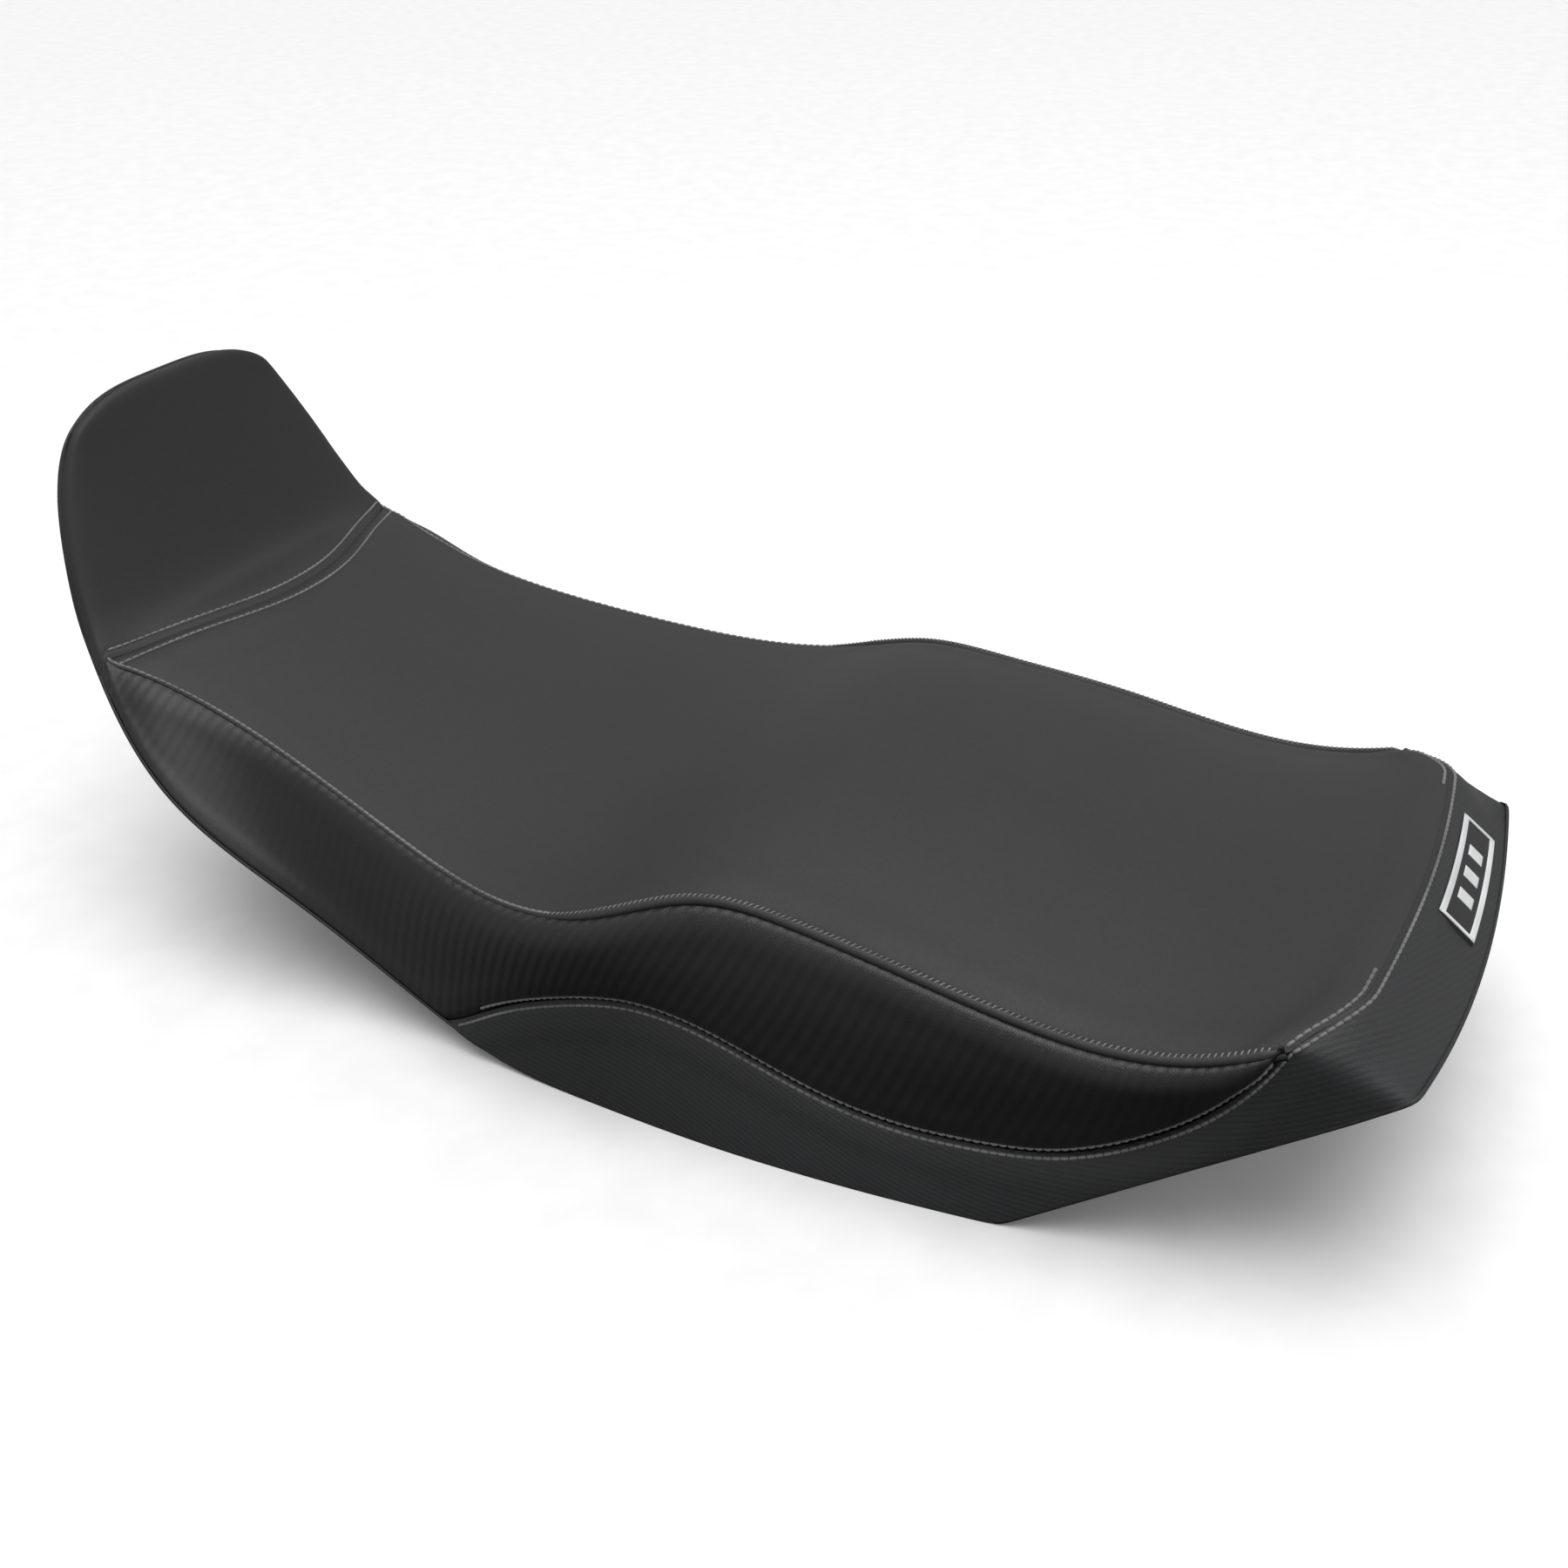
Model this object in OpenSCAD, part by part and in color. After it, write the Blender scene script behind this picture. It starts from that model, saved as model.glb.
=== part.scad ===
// Motorcycle dual seat with a scooped nose, a dished rider area and a raised passenger area.
// +X is the riding direction, +Y the rider's left, +Z up. The skirt's flat run stands at z = 0.

/* [Cover] */
// Thickness of the vinyl cover
cover_t = 2; // [1:0.5:3]
// Outward bulge of the padded side panels
side_bulge = 7; // [2:1:10]
// Radius of the welt along the side seams
welt_r = 3; // [2:0.5:4]
// Radius of the topstitching thread
thread_r = 0.6; // [0.4:0.1:1]
// Distance between the two rows of a double seam
row_gap = 9; // [6:1:12]

/* [Seat pan] */
// Wall thickness of the moulded pan
pan_t = 3; // [2:0.5:4]
// Depth of the stiffening ribs under the pan
rib_h = 14; // [8:1:20]
// Thickness of the ribs
rib_t = 3; // [2:0.5:4]

/* [Hardware] */
// Sheet thickness of the steel brackets
plate_t = 3; // [2:0.5:4]
// Width of the front hook's tongue
tongue_w = 44; // [30:1:60]
// Length of the tongue ahead of its bend
tongue_l = 40; // [30:1:50]
// Rod radius of the striker loop
rod_r = 4; // [3:0.5:5]
// Distance between the legs of the striker loop
loop_w = 36; // [28:1:44]
// Height of the opening inside the striker loop
loop_h = 22; // [16:1:26]
// Thread radius of the bracket bolts
bolt_r = 3; // [2.5:0.5:4]
// Radius of a rubber bumper's foot
foot_r = 12; // [8:1:14]
// Height of the bumpers' feet above the skirt's lower edge
foot_z = 40; // [30:1:46]

/* [Label] */
// Length of the sewn label on the rear band
label_l = 86; // [60:1:100]
// Height of the label
label_h = 26; // [14:1:28]
// Distance of the label's middle from the seat's centre plane
label_y = -29; // [-40:1:0]

/* [Hidden] */
$fn = 48;

// The shoulder: the side seam from the tail corner (0) to the front of the seat, then the nose's rim.
SHOULDER = [[-321, 122, 137], [-273, 133, 116], [-218, 138, 111], [-153, 138, 120], [-93, 135, 127],
    [-43, 138, 127], [7, 149, 110], [67, 145, 102], [147, 126, 113], [232, 110, 132], [292, 112, 150],
    [320, 115, 160], [336, 105, 195], [347, 91, 233], [350, 75, 258]];
// The cover's lower edge at the same stations, ahead of the kicked-up tail.
SKIRT = [[-194, 141, 0], [-133, 148, 0], [-63, 152, 0], [-3, 151, 0], [47, 149, 2], [97, 147, 17],
    [177, 146, 59], [257, 147, 107], [323, 117, 152], [341, 105, 188], [353, 90, 227], [357, 74, 253]];
// Lower corner of the tail, where the skirt meets the rear band.
TAIL_CORNER = [-350, 121, 114];
// Height of the padded crown above the shoulders, along the surface's normal.
CROWN = [6, 19, 21, 22, 22, 18, 14, 14, 14, 14, 14, 12, 10, 8, 3];
// Rise of the pan's arch above the skirt's edge.
ARCH = [0, 14, 40, 74, 74, 70, 62, 58, 50, 30, 15, 4, 3, 2, 0];
// Place of the lower seam on the side, from the shoulder (0) to the skirt's edge (1).
LOWER_SEAM = [0, 0.55, 0.78, 0.74, 0.72, 0.58, 0.46, 0.62, 1];

LAST = len(SHOULDER) - 1;      // the nose's front edge
NOSE_SEAM = 10.8;              // the nose seam's ends
SEAM_END = len(LOWER_SEAM) - 1;
STRIKER = [-215, 0, 46];       // top of the striker plate
STRIKER_PITCH = 60;            // distance between the striker's bolts
HOOK = [87, 0, 40];            // top of the hook's plate
HOOK_POSTS = [[-14, 24], [14, 27]]; // place along the hook and length of its two posts
BUMPERS = [[-103, 78], [57, 82]];
LABEL_LEAN = 10;               // sideways lean of the label's ends
washer_t = 1.6;
screw_r = 2.4;
insert_r = 4.5;
insert_l = 14;
stem_r = 5;
PAN_LIFT = 1.6;                // the pan's edge above the cover's
KICK = 3;                      // the tail kicks up behind this station
EPS = 0.02;                    // step for the surface's tangents

// Catmull-Rom curve through a list of points or numbers.
function at(list, k) = list[max(0, min(len(list) - 1, k))];
function curve(list, u) =
    let (k = max(0, min(len(list) - 2, floor(u))), t = u - k,
        a = k > 0 ? at(list, k - 1) : 2 * list[0] - list[1], b = list[k], c = list[k + 1],
        d = k + 2 < len(list) ? list[k + 2] : 2 * c - b)
    b + t / 2 * (c - a + t * (2 * a - 5 * b + 4 * c - d + t * (3 * b - a - 3 * c + d)));
function unit(v) = v / norm(v);
function along(a, b, n) = [for (i = [0 : n]) a + (b - a) * i / n];

function shoulder(u) = curve(SHOULDER, u);
function skirt(u) =
    let (p = curve(SKIRT, u - KICK))
    u < KICK ? TAIL_CORNER + (SKIRT[0] - TAIL_CORNER) * u / KICK : [p[0], p[1], max(0, p[2])];
// Upward normal of the centre line, in the seat's centre plane.
function rise(u) = let (t = shoulder(min(u + 0.1, LAST)) - shoulder(max(u - 0.1, 0))) unit([-t[2], 0, t[0]]);
// Rounding of the tail's and the nose's ends across the seat.
function tail_bow(u, v) = u < 1 ? (1 - u) ^ 2 * (1 - v ^ 2) : 0;
function nose_bow(u, v) = u > 12 ? ((u - 12) / 2) ^ 2 * (1 - abs(v) ^ 3.5) : 0;

// Outer surface: across = 0 at the centre line, 1 at the shoulder, 2 at the skirt's edge; left is positive.
function top_point(u, v) =
    let (p = shoulder(u))
    [p[0], v * p[1], p[2]] + max(0, curve(CROWN, u)) * (1 - abs(v) ^ 2.4) * rise(u)
        + tail_bow(u, v) * [-12, 0, 0] + nose_bow(u, v) * [3, 0, 17];
function seam_share(u) = u < SEAM_END ? max(0.02, curve(LOWER_SEAM, u)) : 1;
function side_point(u, w, sign) =
    let (p = shoulder(u), e = skirt(u), q = p + (e - p) * w, s = min(1, w / seam_share(u)),
        b = side_bulge * sin(180 * s) * min(1, max(0, (NOSE_SEAM - u) / 3)) * min(1, u))
    [q[0], sign * (q[1] + b), q[2]];
function skin(u, across) =
    abs(across) <= 1 ? top_point(u, across) : side_point(u, abs(across) - 1, sign(across));
function normal(u, c) =
    unit(cross(skin(min(u + EPS, LAST), c) - skin(max(u - EPS, 0), c),
        skin(u, min(c + EPS, 2)) - skin(u, max(c - EPS, -2))));
// A point under the outer surface, drawn in from both ends of the seat too.
function inside(u, c, depth) =
    let (p = skin(u, c) - depth * normal(u, c), ends = max(0, 1 - 2 * u) - max(0, 2 * (u - LAST) + 1))
    [p[0] + depth * ends, p[1], max(0, p[2])];

// The moulded pan's upper surface, between the skirt's edges and just above them.
function pan_point(u, v) =
    let (e = skirt(u))
    [e[0], v * (e[1] - cover_t - 0.5), e[2] + PAN_LIFT] + max(0, curve(ARCH, u)) * (1 - v ^ 6) * rise(max(u, 1))
        + tail_bow(u, v) * [-10, 0, -8] + [cover_t, 0, 0] * (max(0, 1 - 2 * u) - max(0, 2 * (u - LAST) + 1))
        + nose_bow(u, v) * [3, 0, 17];
function pan_normal(u, v) =
    unit(cross(pan_point(min(u + EPS, LAST), v) - pan_point(max(u - EPS, 0), v),
        pan_point(u, min(v + EPS, 1)) - pan_point(u, max(v - EPS, -1))));

// Columns of the grids, closer together where the section turns.
TOP_COLS = [for (i = [-8 : 8]) sin(90 * i / 8)];
ALL_COLS = concat([for (c = [2, 1.8, 1.6, 1.4, 1.2]) -c], TOP_COLS, [1.2, 1.4, 1.6, 1.8, 2]);
// Rows of the grids along the seat.
ROWS = concat(along(0, 10, 30), along(10.5, LAST, 7));

// A closed solid between two grids of the same size.
module slab(outer, inner) {
    rows = len(outer);
    cols = len(outer[0]);
    last = rows * cols;
    points = [for (grid = [outer, inner], row = grid, p = row) p];
    function id(i, j, side) = side * last + i * cols + j;
    function quad(a, b, c, d) = [[a, b, c], [a, c, d]];
    faces = concat(
        [for (i = [0 : rows - 2], j = [0 : cols - 2], f = quad(id(i, j, 0), id(i, j + 1, 0),
            id(i + 1, j + 1, 0), id(i + 1, j, 0))) f],
        [for (i = [0 : rows - 2], j = [0 : cols - 2], f = quad(id(i, j, 1), id(i + 1, j, 1),
            id(i + 1, j + 1, 1), id(i, j + 1, 1))) f],
        [for (i = [0 : rows - 2], f = quad(id(i, 0, 0), id(i + 1, 0, 0), id(i + 1, 0, 1), id(i, 0, 1))) f],
        [for (i = [0 : rows - 2], f = quad(id(i, cols - 1, 0), id(i, cols - 1, 1),
            id(i + 1, cols - 1, 1), id(i + 1, cols - 1, 0))) f],
        [for (j = [0 : cols - 2], f = quad(id(0, j, 0), id(0, j, 1), id(0, j + 1, 1), id(0, j + 1, 0))) f],
        [for (j = [0 : cols - 2], f = quad(id(rows - 1, j, 0), id(rows - 1, j + 1, 0),
            id(rows - 1, j + 1, 1), id(rows - 1, j, 1))) f]);
    polyhedron(points, faces, convexity = 8);
}

// A cord with a square section along a route of points.
module cord(route, r) {
    last = len(route) - 1;
    function heading(i) = unit(route[min(i + 1, last)] - route[max(i - 1, 0)]);
    function across(i) = unit(cross(heading(i), [0.11, 0.27, 0.95]));
    function ring(i) = let (s = across(i), t = cross(heading(i), s)) [for (a = [45 : 90 : 315])
        route[i] + r * (cos(a) * s + sin(a) * t)];
    points = [for (i = [0 : last], p = ring(i)) p];
    faces = concat([[3, 2, 1, 0]], [[for (k = [0 : 3]) 4 * last + k]],
        [for (i = [0 : last - 1], k = [0 : 3], f = [
            [4 * i + k, 4 * i + (k + 1) % 4, 4 * i + 4 + (k + 1) % 4],
            [4 * i + k, 4 * i + 4 + (k + 1) % 4, 4 * i + 4 + k]]) f]);
    polyhedron(points, faces, convexity = 10);
}

module mirrored() {
    children();
    mirror([0, 1, 0]) children();
}

// The nose seam bows back at the seat's middle: grid rows near it are bent with it.
function bend(r) =
    r < 9 ? 0 : r < NOSE_SEAM ? (r - 9) / (NOSE_SEAM - 9) : (LAST - r) / (LAST - NOSE_SEAM);
function bent(r, v) = r - bend(r) * (1 - abs(v) ^ 2.2);

module top_cover() {
    rows = along(0, NOSE_SEAM, 28);
    color([0.27, 0.27, 0.28]) slab(
        [for (r = rows) [for (v = TOP_COLS) skin(bent(r, v), v)]],
        [for (r = rows) [for (v = TOP_COLS) inside(bent(r, v), v, cover_t)]]);
}

module nose_cover() {
    rows = along(NOSE_SEAM, LAST, 9);
    cols = concat([-2], TOP_COLS, [2]);
    function place(r, c) = abs(c) > 1 ? r : bent(r, c);
    // The last row folds over the front edge down to the pan.
    function fold(c, depth) =
        let (e = skirt(LAST), v = max(-1, min(1, c)), turn = abs(c) > 1 ? 1 : 0)
        [e[0] + 1 - depth, v * (e[1] - 2 + turn * 2 - depth), e[2] - turn]
            + nose_bow(LAST, v) * [3, 0, 17];
    color([0.2, 0.2, 0.21]) slab(
        [for (r = rows) [for (c = cols) skin(place(r, c), c)], [for (c = cols) fold(c, 0)]],
        [for (r = rows) [for (c = cols) inside(place(r, c), c, cover_t)], [for (c = cols) fold(c, cover_t)]]);
}

module side_cover() {
    rows = along(0, NOSE_SEAM, 33);
    function fall(u, k) = 1 + seam_share(u) * k / 5;
    color([0.15, 0.15, 0.16]) slab(
        [for (u = rows) [for (k = [0 : 5]) skin(u, fall(u, k))]],
        [for (u = rows) [for (k = [0 : 5]) inside(u, fall(u, k), cover_t)]]);
}

module left_side_cover() side_cover();
module right_side_cover() mirror([0, 1, 0]) side_cover();

// The rear band at the tail: v across the seat, k from the rear seam (0) to the lower edge (1).
function rear(v, k) =
    let (top = skin(0, v), foot = [TAIL_CORNER[0], v * TAIL_CORNER[1], TAIL_CORNER[2]]
        + tail_bow(0, v) * [-10, 0, -8])
    top + (foot - top) * k;
function rear_normal(v, k) =
    unit(cross(rear(v, k + EPS) - rear(v, k), rear(v + EPS, k) - rear(v - EPS, k)));

// One strip: back along the left skirt from its front tip, round the tail and forward again.
module rear_band_cover() {
    flank = along(SEAM_END - 0.1, 0, 24);
    turn = [for (i = [7 : -1 : -7]) sin(90 * i / 8)];
    function across(u, k) = 1 + seam_share(u) + (1 - seam_share(u)) * k / 3;
    function flip(row) = [for (p = row) [p[0], -p[1], p[2]]];
    function strip(depth) =
        let (left = [for (u = flank) [for (k = [0 : 3]) inside(u, across(u, k), depth)]])
        concat(left, [for (v = turn) [for (k = [0 : 3]) rear(v, k / 3) + [depth, 0, 0]]],
            [for (i = [len(flank) - 1 : -1 : 0]) flip(left[i])]);
    color([0.24, 0.25, 0.26]) slab(strip(cover_t), strip(0));
}

module foam_cushion() {
    // The padding ends a little above the pan's edge, where its thickness runs out.
    FOOT = 1.93;
    cols = [for (c = ALL_COLS) max(-FOOT, min(FOOT, c))];
    function under(c) = c * 0.97 / FOOT;
    color([0.85, 0.8, 0.6]) slab(
        [for (u = ROWS) [for (c = cols) inside(u, c, cover_t + 0.1)]],
        [for (u = ROWS) [for (c = cols) pan_point(u, under(c)) + 0.2 * pan_normal(u, under(c))]]);
}

module bumper_spots() {
    for (b = BUMPERS, side = [-1, 1]) translate([b[0], side * b[1], 60]) children();
}

module striker_spots() {
    for (side = [-0.5, 0.5]) translate(STRIKER + [0, side * STRIKER_PITCH, 0]) children();
}

module hook_spots() {
    for (post = HOOK_POSTS) translate(HOOK + [post[0], 0, 0]) children();
}

module rib(y) {
    rows = along(KICK + 0.4, 9.4, 12);
    function face(u, side) =
        let (e = skirt(u), v = y / (e[1] - cover_t), p = pan_point(u, v) - [0, 0, pan_t - 0.6])
        [p + [0, side * rib_t / 2, 0], p + [0, side * rib_t / 2, -rib_h * min(1, 0.35 + min(u - KICK, 9.6 - u))]];
    slab([for (u = rows) face(u, 1)], [for (u = rows) face(u, -1)]);
}

module seat_pan() {
    cols = [for (i = [-7 : 7]) sin(90 * i / 7)];
    rows = concat(along(0, 10, 20), along(10.5, LAST, 7));
    color([0.1, 0.1, 0.11]) {
        difference() {
            slab([for (u = rows) [for (v = cols) pan_point(u, v)]],
                [for (u = rows) [for (v = cols) pan_point(u, v) - pan_t * pan_normal(u, v)]]);
            bumper_spots() cylinder(r = stem_r, h = 60, center = true);
        }
        for (y = [-38, 38]) rib(y);
        bosses();
    }
}

module bosses() {
    striker_spots() difference() {
        cylinder(r = 9, h = 28);
        translate([0, 0, -1]) cylinder(r = insert_r, h = insert_l + 1);
    }
    for (post = HOOK_POSTS) translate(HOOK + [post[0], 0, 0]) difference() {
        cylinder(r = 8, h = post[1]);
        translate([0, 0, -1]) cylinder(r = screw_r, h = 15);
    }
}

module left_welt() welt();
module right_welt() mirror([0, 1, 0]) welt();
module welt() {
    color([0.13, 0.13, 0.14]) cord([for (u = along(0.05, 6.4, 44)) skin(u, 1.004)], welt_r);
}

module nose_stitching() {
    step = row_gap / 45;
    color([0.5, 0.5, 0.5]) for (r = [NOSE_SEAM - step, NOSE_SEAM + step])
        cord([for (c = concat([-1.6], TOP_COLS, [1.6])) skin(abs(c) > 1 ? r : bent(r, c), c)], thread_r);
}

module side_stitching() {
    color([0.5, 0.5, 0.5]) {
        cord([for (u = along(0.1, NOSE_SEAM, 44)) skin(u, 0.95)], thread_r);
        for (side = [-1, 1]) cord([for (u = along(0.6, 7.6, 36))
            skin(u, 1 + seam_share(u) + side * row_gap / 2 / norm(skirt(u) - shoulder(u)))], thread_r);
    }
}

module left_stitching() side_stitching();
module right_stitching() mirror([0, 1, 0]) side_stitching();

module rear_stitching() {
    color([0.5, 0.5, 0.5]) {
        cord([for (v = TOP_COLS) skin(0.12, v * 0.98)], thread_r);
        cord([for (v = TOP_COLS) rear(v * 0.98, 0.12)], thread_r);
    }
}

// A patch on the rear band: s along it from -1 to 1, t down it from 0 to 1, from low to high above it.
module patch(s, t, low, high) {
    half = SHOULDER[0][1];
    band_h = norm(rear(0, 1) - rear(0, 0));
    function spot(a, b, up) =
        let (v = (label_y + a * label_l / 2 + LABEL_LEAN * (0.5 - b)) / half,
            k = 0.5 + (b - 0.5) * label_h / band_h)
        rear(v, k) + up * rear_normal(v, k);
    rows = along(s[0], s[1], max(1, round(8 * (s[1] - s[0]) / 2)));
    cols = along(t[0], t[1], t[1] - t[0] > 0.5 ? 2 : 1);
    slab([for (a = rows) [for (b = cols) spot(a, b, low)]],
        [for (a = rows) [for (b = cols) spot(a, b, high)]]);
}

module rear_label() {
    color([0.12, 0.12, 0.13]) patch([-1, 1], [0, 1], -0.3, 1);
}

// A plain border and three slanted bars in raised print.
module label_print() {
    color([0.9, 0.9, 0.9]) {
        for (t = [0.04, 0.86]) patch([-0.97, 0.97], [t, t + 0.1], 1, 1.4);
        for (a = [-0.97, 0.94]) patch([a, a + 0.03], [0.15, 0.85], 1, 1.4);
        for (a = [-0.5, -0.08, 0.34]) patch([a, a + 0.2], [0.3, 0.7], 1, 1.4);
    }
}

// Steel hook: a flat plate under two posts, stepped down to a tongue that points forward.
module front_hook() {
    plate_l = 56;
    drop = 15;
    side = [[-plate_l / 2, 0], [plate_l / 2, 0], [plate_l / 2 + drop, -drop],
        [plate_l / 2 + drop + tongue_l, -drop], [plate_l / 2 + drop + tongue_l, -drop - plate_t],
        [plate_l / 2 + drop - plate_t / 2, -drop - plate_t], [plate_l / 2 - plate_t / 2, -plate_t],
        [-plate_l / 2, -plate_t]];
    color([0.35, 0.36, 0.37]) difference() {
        translate(HOOK) rotate([90, 0, 0]) linear_extrude(height = tongue_w, center = true) polygon(side);
        hook_spots() cylinder(r = screw_r + 0.3, h = 4 * plate_t, center = true);
    }
}

module hook_screws() {
    color([0.6, 0.6, 0.62]) hook_spots() translate([0, 0, -plate_t]) {
        cylinder(r = screw_r - 0.05, h = plate_t + 13);
        translate([0, 0, -1.2]) cylinder(r = 6, h = 1.2);
        translate([0, 0, -4.5]) cylinder(r = 4.6, h = 3.4, $fn = 6);
    }
}

module striker_plate() {
    color([0.35, 0.36, 0.37]) translate(STRIKER - [0, 0, plate_t]) difference() {
        translate([-20, -STRIKER_PITCH / 2 - 16, 0]) cube([40, STRIKER_PITCH + 32, plate_t]);
        for (y = [-0.5, 0.5] * STRIKER_PITCH) translate([0, y, -1]) cylinder(r = bolt_r + 0.3, h = plate_t + 2);
        for (y = [-0.5, 0.5] * loop_w) translate([0, y, -1]) cylinder(r = rod_r, h = plate_t + 2);
    }
}

// Welded U of round rod that the seat lock's latch closes on.
module striker_loop() {
    bend_r = 8;
    flat = loop_w / 2 - bend_r;
    base = STRIKER[2] - plate_t - loop_h - rod_r;
    color([0.7, 0.71, 0.72]) translate([STRIKER[0], 0, base]) {
        for (side = [-1, 1]) {
            translate([0, side * loop_w / 2, bend_r]) cylinder(r = rod_r, h = STRIKER[2] - base - bend_r);
            translate([0, side * flat, bend_r]) rotate([90, 0, 90]) rotate([0, 0, side > 0 ? -90 : 180])
                rotate_extrude(angle = 90) translate([bend_r, 0]) circle(r = rod_r);
        }
        rotate([90, 0, 0]) cylinder(r = rod_r, h = 2 * flat, center = true);
    }
}

module striker_bolts() {
    color([0.7, 0.7, 0.72]) striker_spots() translate([0, 0, -plate_t - washer_t]) {
        cylinder(r = bolt_r, h = plate_t + washer_t + insert_l);
        translate([0, 0, -4]) cylinder(r = bolt_r * 1.92, h = 4, $fn = 6);
    }
}

module striker_washers() {
    color([0.75, 0.75, 0.76]) striker_spots() translate([0, 0, -plate_t - washer_t]) difference() {
        cylinder(r = bolt_r * 2.1, h = washer_t);
        translate([0, 0, -1]) cylinder(r = bolt_r + 0.2, h = washer_t + 2);
    }
}

module threaded_inserts() {
    color([0.75, 0.6, 0.3]) striker_spots() difference() {
        cylinder(r = insert_r, h = insert_l);
        translate([0, 0, -1]) cylinder(r = bolt_r, h = insert_l + 2);
    }
}

// Push-in rubber bumper: its foot below and its stem through the pan.
module bumper(spot, top) {
    for (side = [-1, 1]) translate([spot[0], side * spot[1], foot_z]) {
        cylinder(r = foot_r, h = top - foot_z);
        cylinder(r = stem_r, h = top - foot_z + pan_t - 0.6);
    }
}

module front_bumpers() color([0.08, 0.08, 0.08]) bumper(BUMPERS[1], 57.6);
module rear_bumpers() color([0.08, 0.08, 0.08]) bumper(BUMPERS[0], 70.4);

// Rubber pads under the nose that keep it off the tank.
module nose_pads() {
    function face(depth) = [for (u = [11.8, 12.1, 12.4]) [for (v = [0.35, 0.5, 0.65])
        pan_point(u, v) - (pan_t + depth) * pan_normal(u, v)]];
    color([0.08, 0.08, 0.08]) mirrored() slab(face(-0.1), face(7));
}

// Staples that hold the cover's turned-in hem, along the inside of the pan's edge.
module cover_staples() {
    crown_l = 9;
    places = concat(along(1.2, 9.6, 21), along(10.6, 13.4, 6));
    color([0.7, 0.7, 0.7]) mirrored() for (u = places)
        let (v = 0.975, n = pan_normal(u, v), t = pan_point(u + 0.1, v) - pan_point(u - 0.1, v))
        translate(pan_point(u, v) - (pan_t + 0.25) * n)
            rotate([0, -atan2(t[2], t[0]), atan2(t[1], norm([t[0], t[2]]))])
                rotate([atan2(n[2], n[1]), 0, 0]) cube([crown_l, 0.7, 1.2], center = true);
}

seat_pan();
foam_cushion();
nose_cover();
top_cover();
left_side_cover();
right_side_cover();
rear_band_cover();
left_welt();
right_welt();
nose_stitching();
left_stitching();
right_stitching();
rear_stitching();
rear_label();
label_print();
front_hook();
hook_screws();
striker_plate();
striker_loop();
striker_bolts();
striker_washers();
threaded_inserts();
front_bumpers();
rear_bumpers();
nose_pads();
cover_staples();
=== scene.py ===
"""A motorcycle dual seat: sewn vinyl panels over foam on a moulded pan, with its hook, striker and feet.

Lengths in the design tables are millimetres, and a mesh is turned to metres when it is made.
"""

from __future__ import annotations

import logging
import math
from dataclasses import dataclass, field
from enum import Enum
from typing import Callable, Sequence

import bpy
import numpy as np
from mathutils import Matrix, Vector


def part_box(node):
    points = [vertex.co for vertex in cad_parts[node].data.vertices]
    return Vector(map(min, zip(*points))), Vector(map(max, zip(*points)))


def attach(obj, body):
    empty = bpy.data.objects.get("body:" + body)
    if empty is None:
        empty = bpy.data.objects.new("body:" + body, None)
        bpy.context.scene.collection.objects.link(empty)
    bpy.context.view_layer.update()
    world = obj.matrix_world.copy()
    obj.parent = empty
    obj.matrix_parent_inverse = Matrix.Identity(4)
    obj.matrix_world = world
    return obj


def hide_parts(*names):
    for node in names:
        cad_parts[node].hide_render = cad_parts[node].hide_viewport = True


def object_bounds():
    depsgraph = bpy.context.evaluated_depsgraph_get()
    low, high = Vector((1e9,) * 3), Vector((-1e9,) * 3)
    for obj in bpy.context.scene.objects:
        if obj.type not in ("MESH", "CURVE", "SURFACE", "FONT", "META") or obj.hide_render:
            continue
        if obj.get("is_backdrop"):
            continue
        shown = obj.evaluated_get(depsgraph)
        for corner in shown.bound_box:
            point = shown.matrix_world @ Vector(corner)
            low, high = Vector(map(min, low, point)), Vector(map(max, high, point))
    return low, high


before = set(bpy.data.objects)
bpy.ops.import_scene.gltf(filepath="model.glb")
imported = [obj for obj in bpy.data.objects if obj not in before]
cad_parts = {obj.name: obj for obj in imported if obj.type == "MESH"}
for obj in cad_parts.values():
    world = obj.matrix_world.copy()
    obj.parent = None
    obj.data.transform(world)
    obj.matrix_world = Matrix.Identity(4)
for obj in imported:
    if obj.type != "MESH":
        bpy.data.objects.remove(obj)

LOG = logging.getLogger("seat")
MM = 0.001
Points = np.ndarray
Settings = dict[str, object]


class Hand(Enum):
    """The rider's two sides, as the sign of Y."""

    LEFT = 1
    RIGHT = -1


class Edge(Enum):
    """The four edges of a panel's grid: its first and last rows and its first and last columns."""

    FIRST_ROW = 0
    LAST_ROW = 1
    FIRST_COL = 2
    LAST_COL = 3


# ---------------------------------------------------------------------------------------------
# The seat's surfaces
# ---------------------------------------------------------------------------------------------


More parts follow.
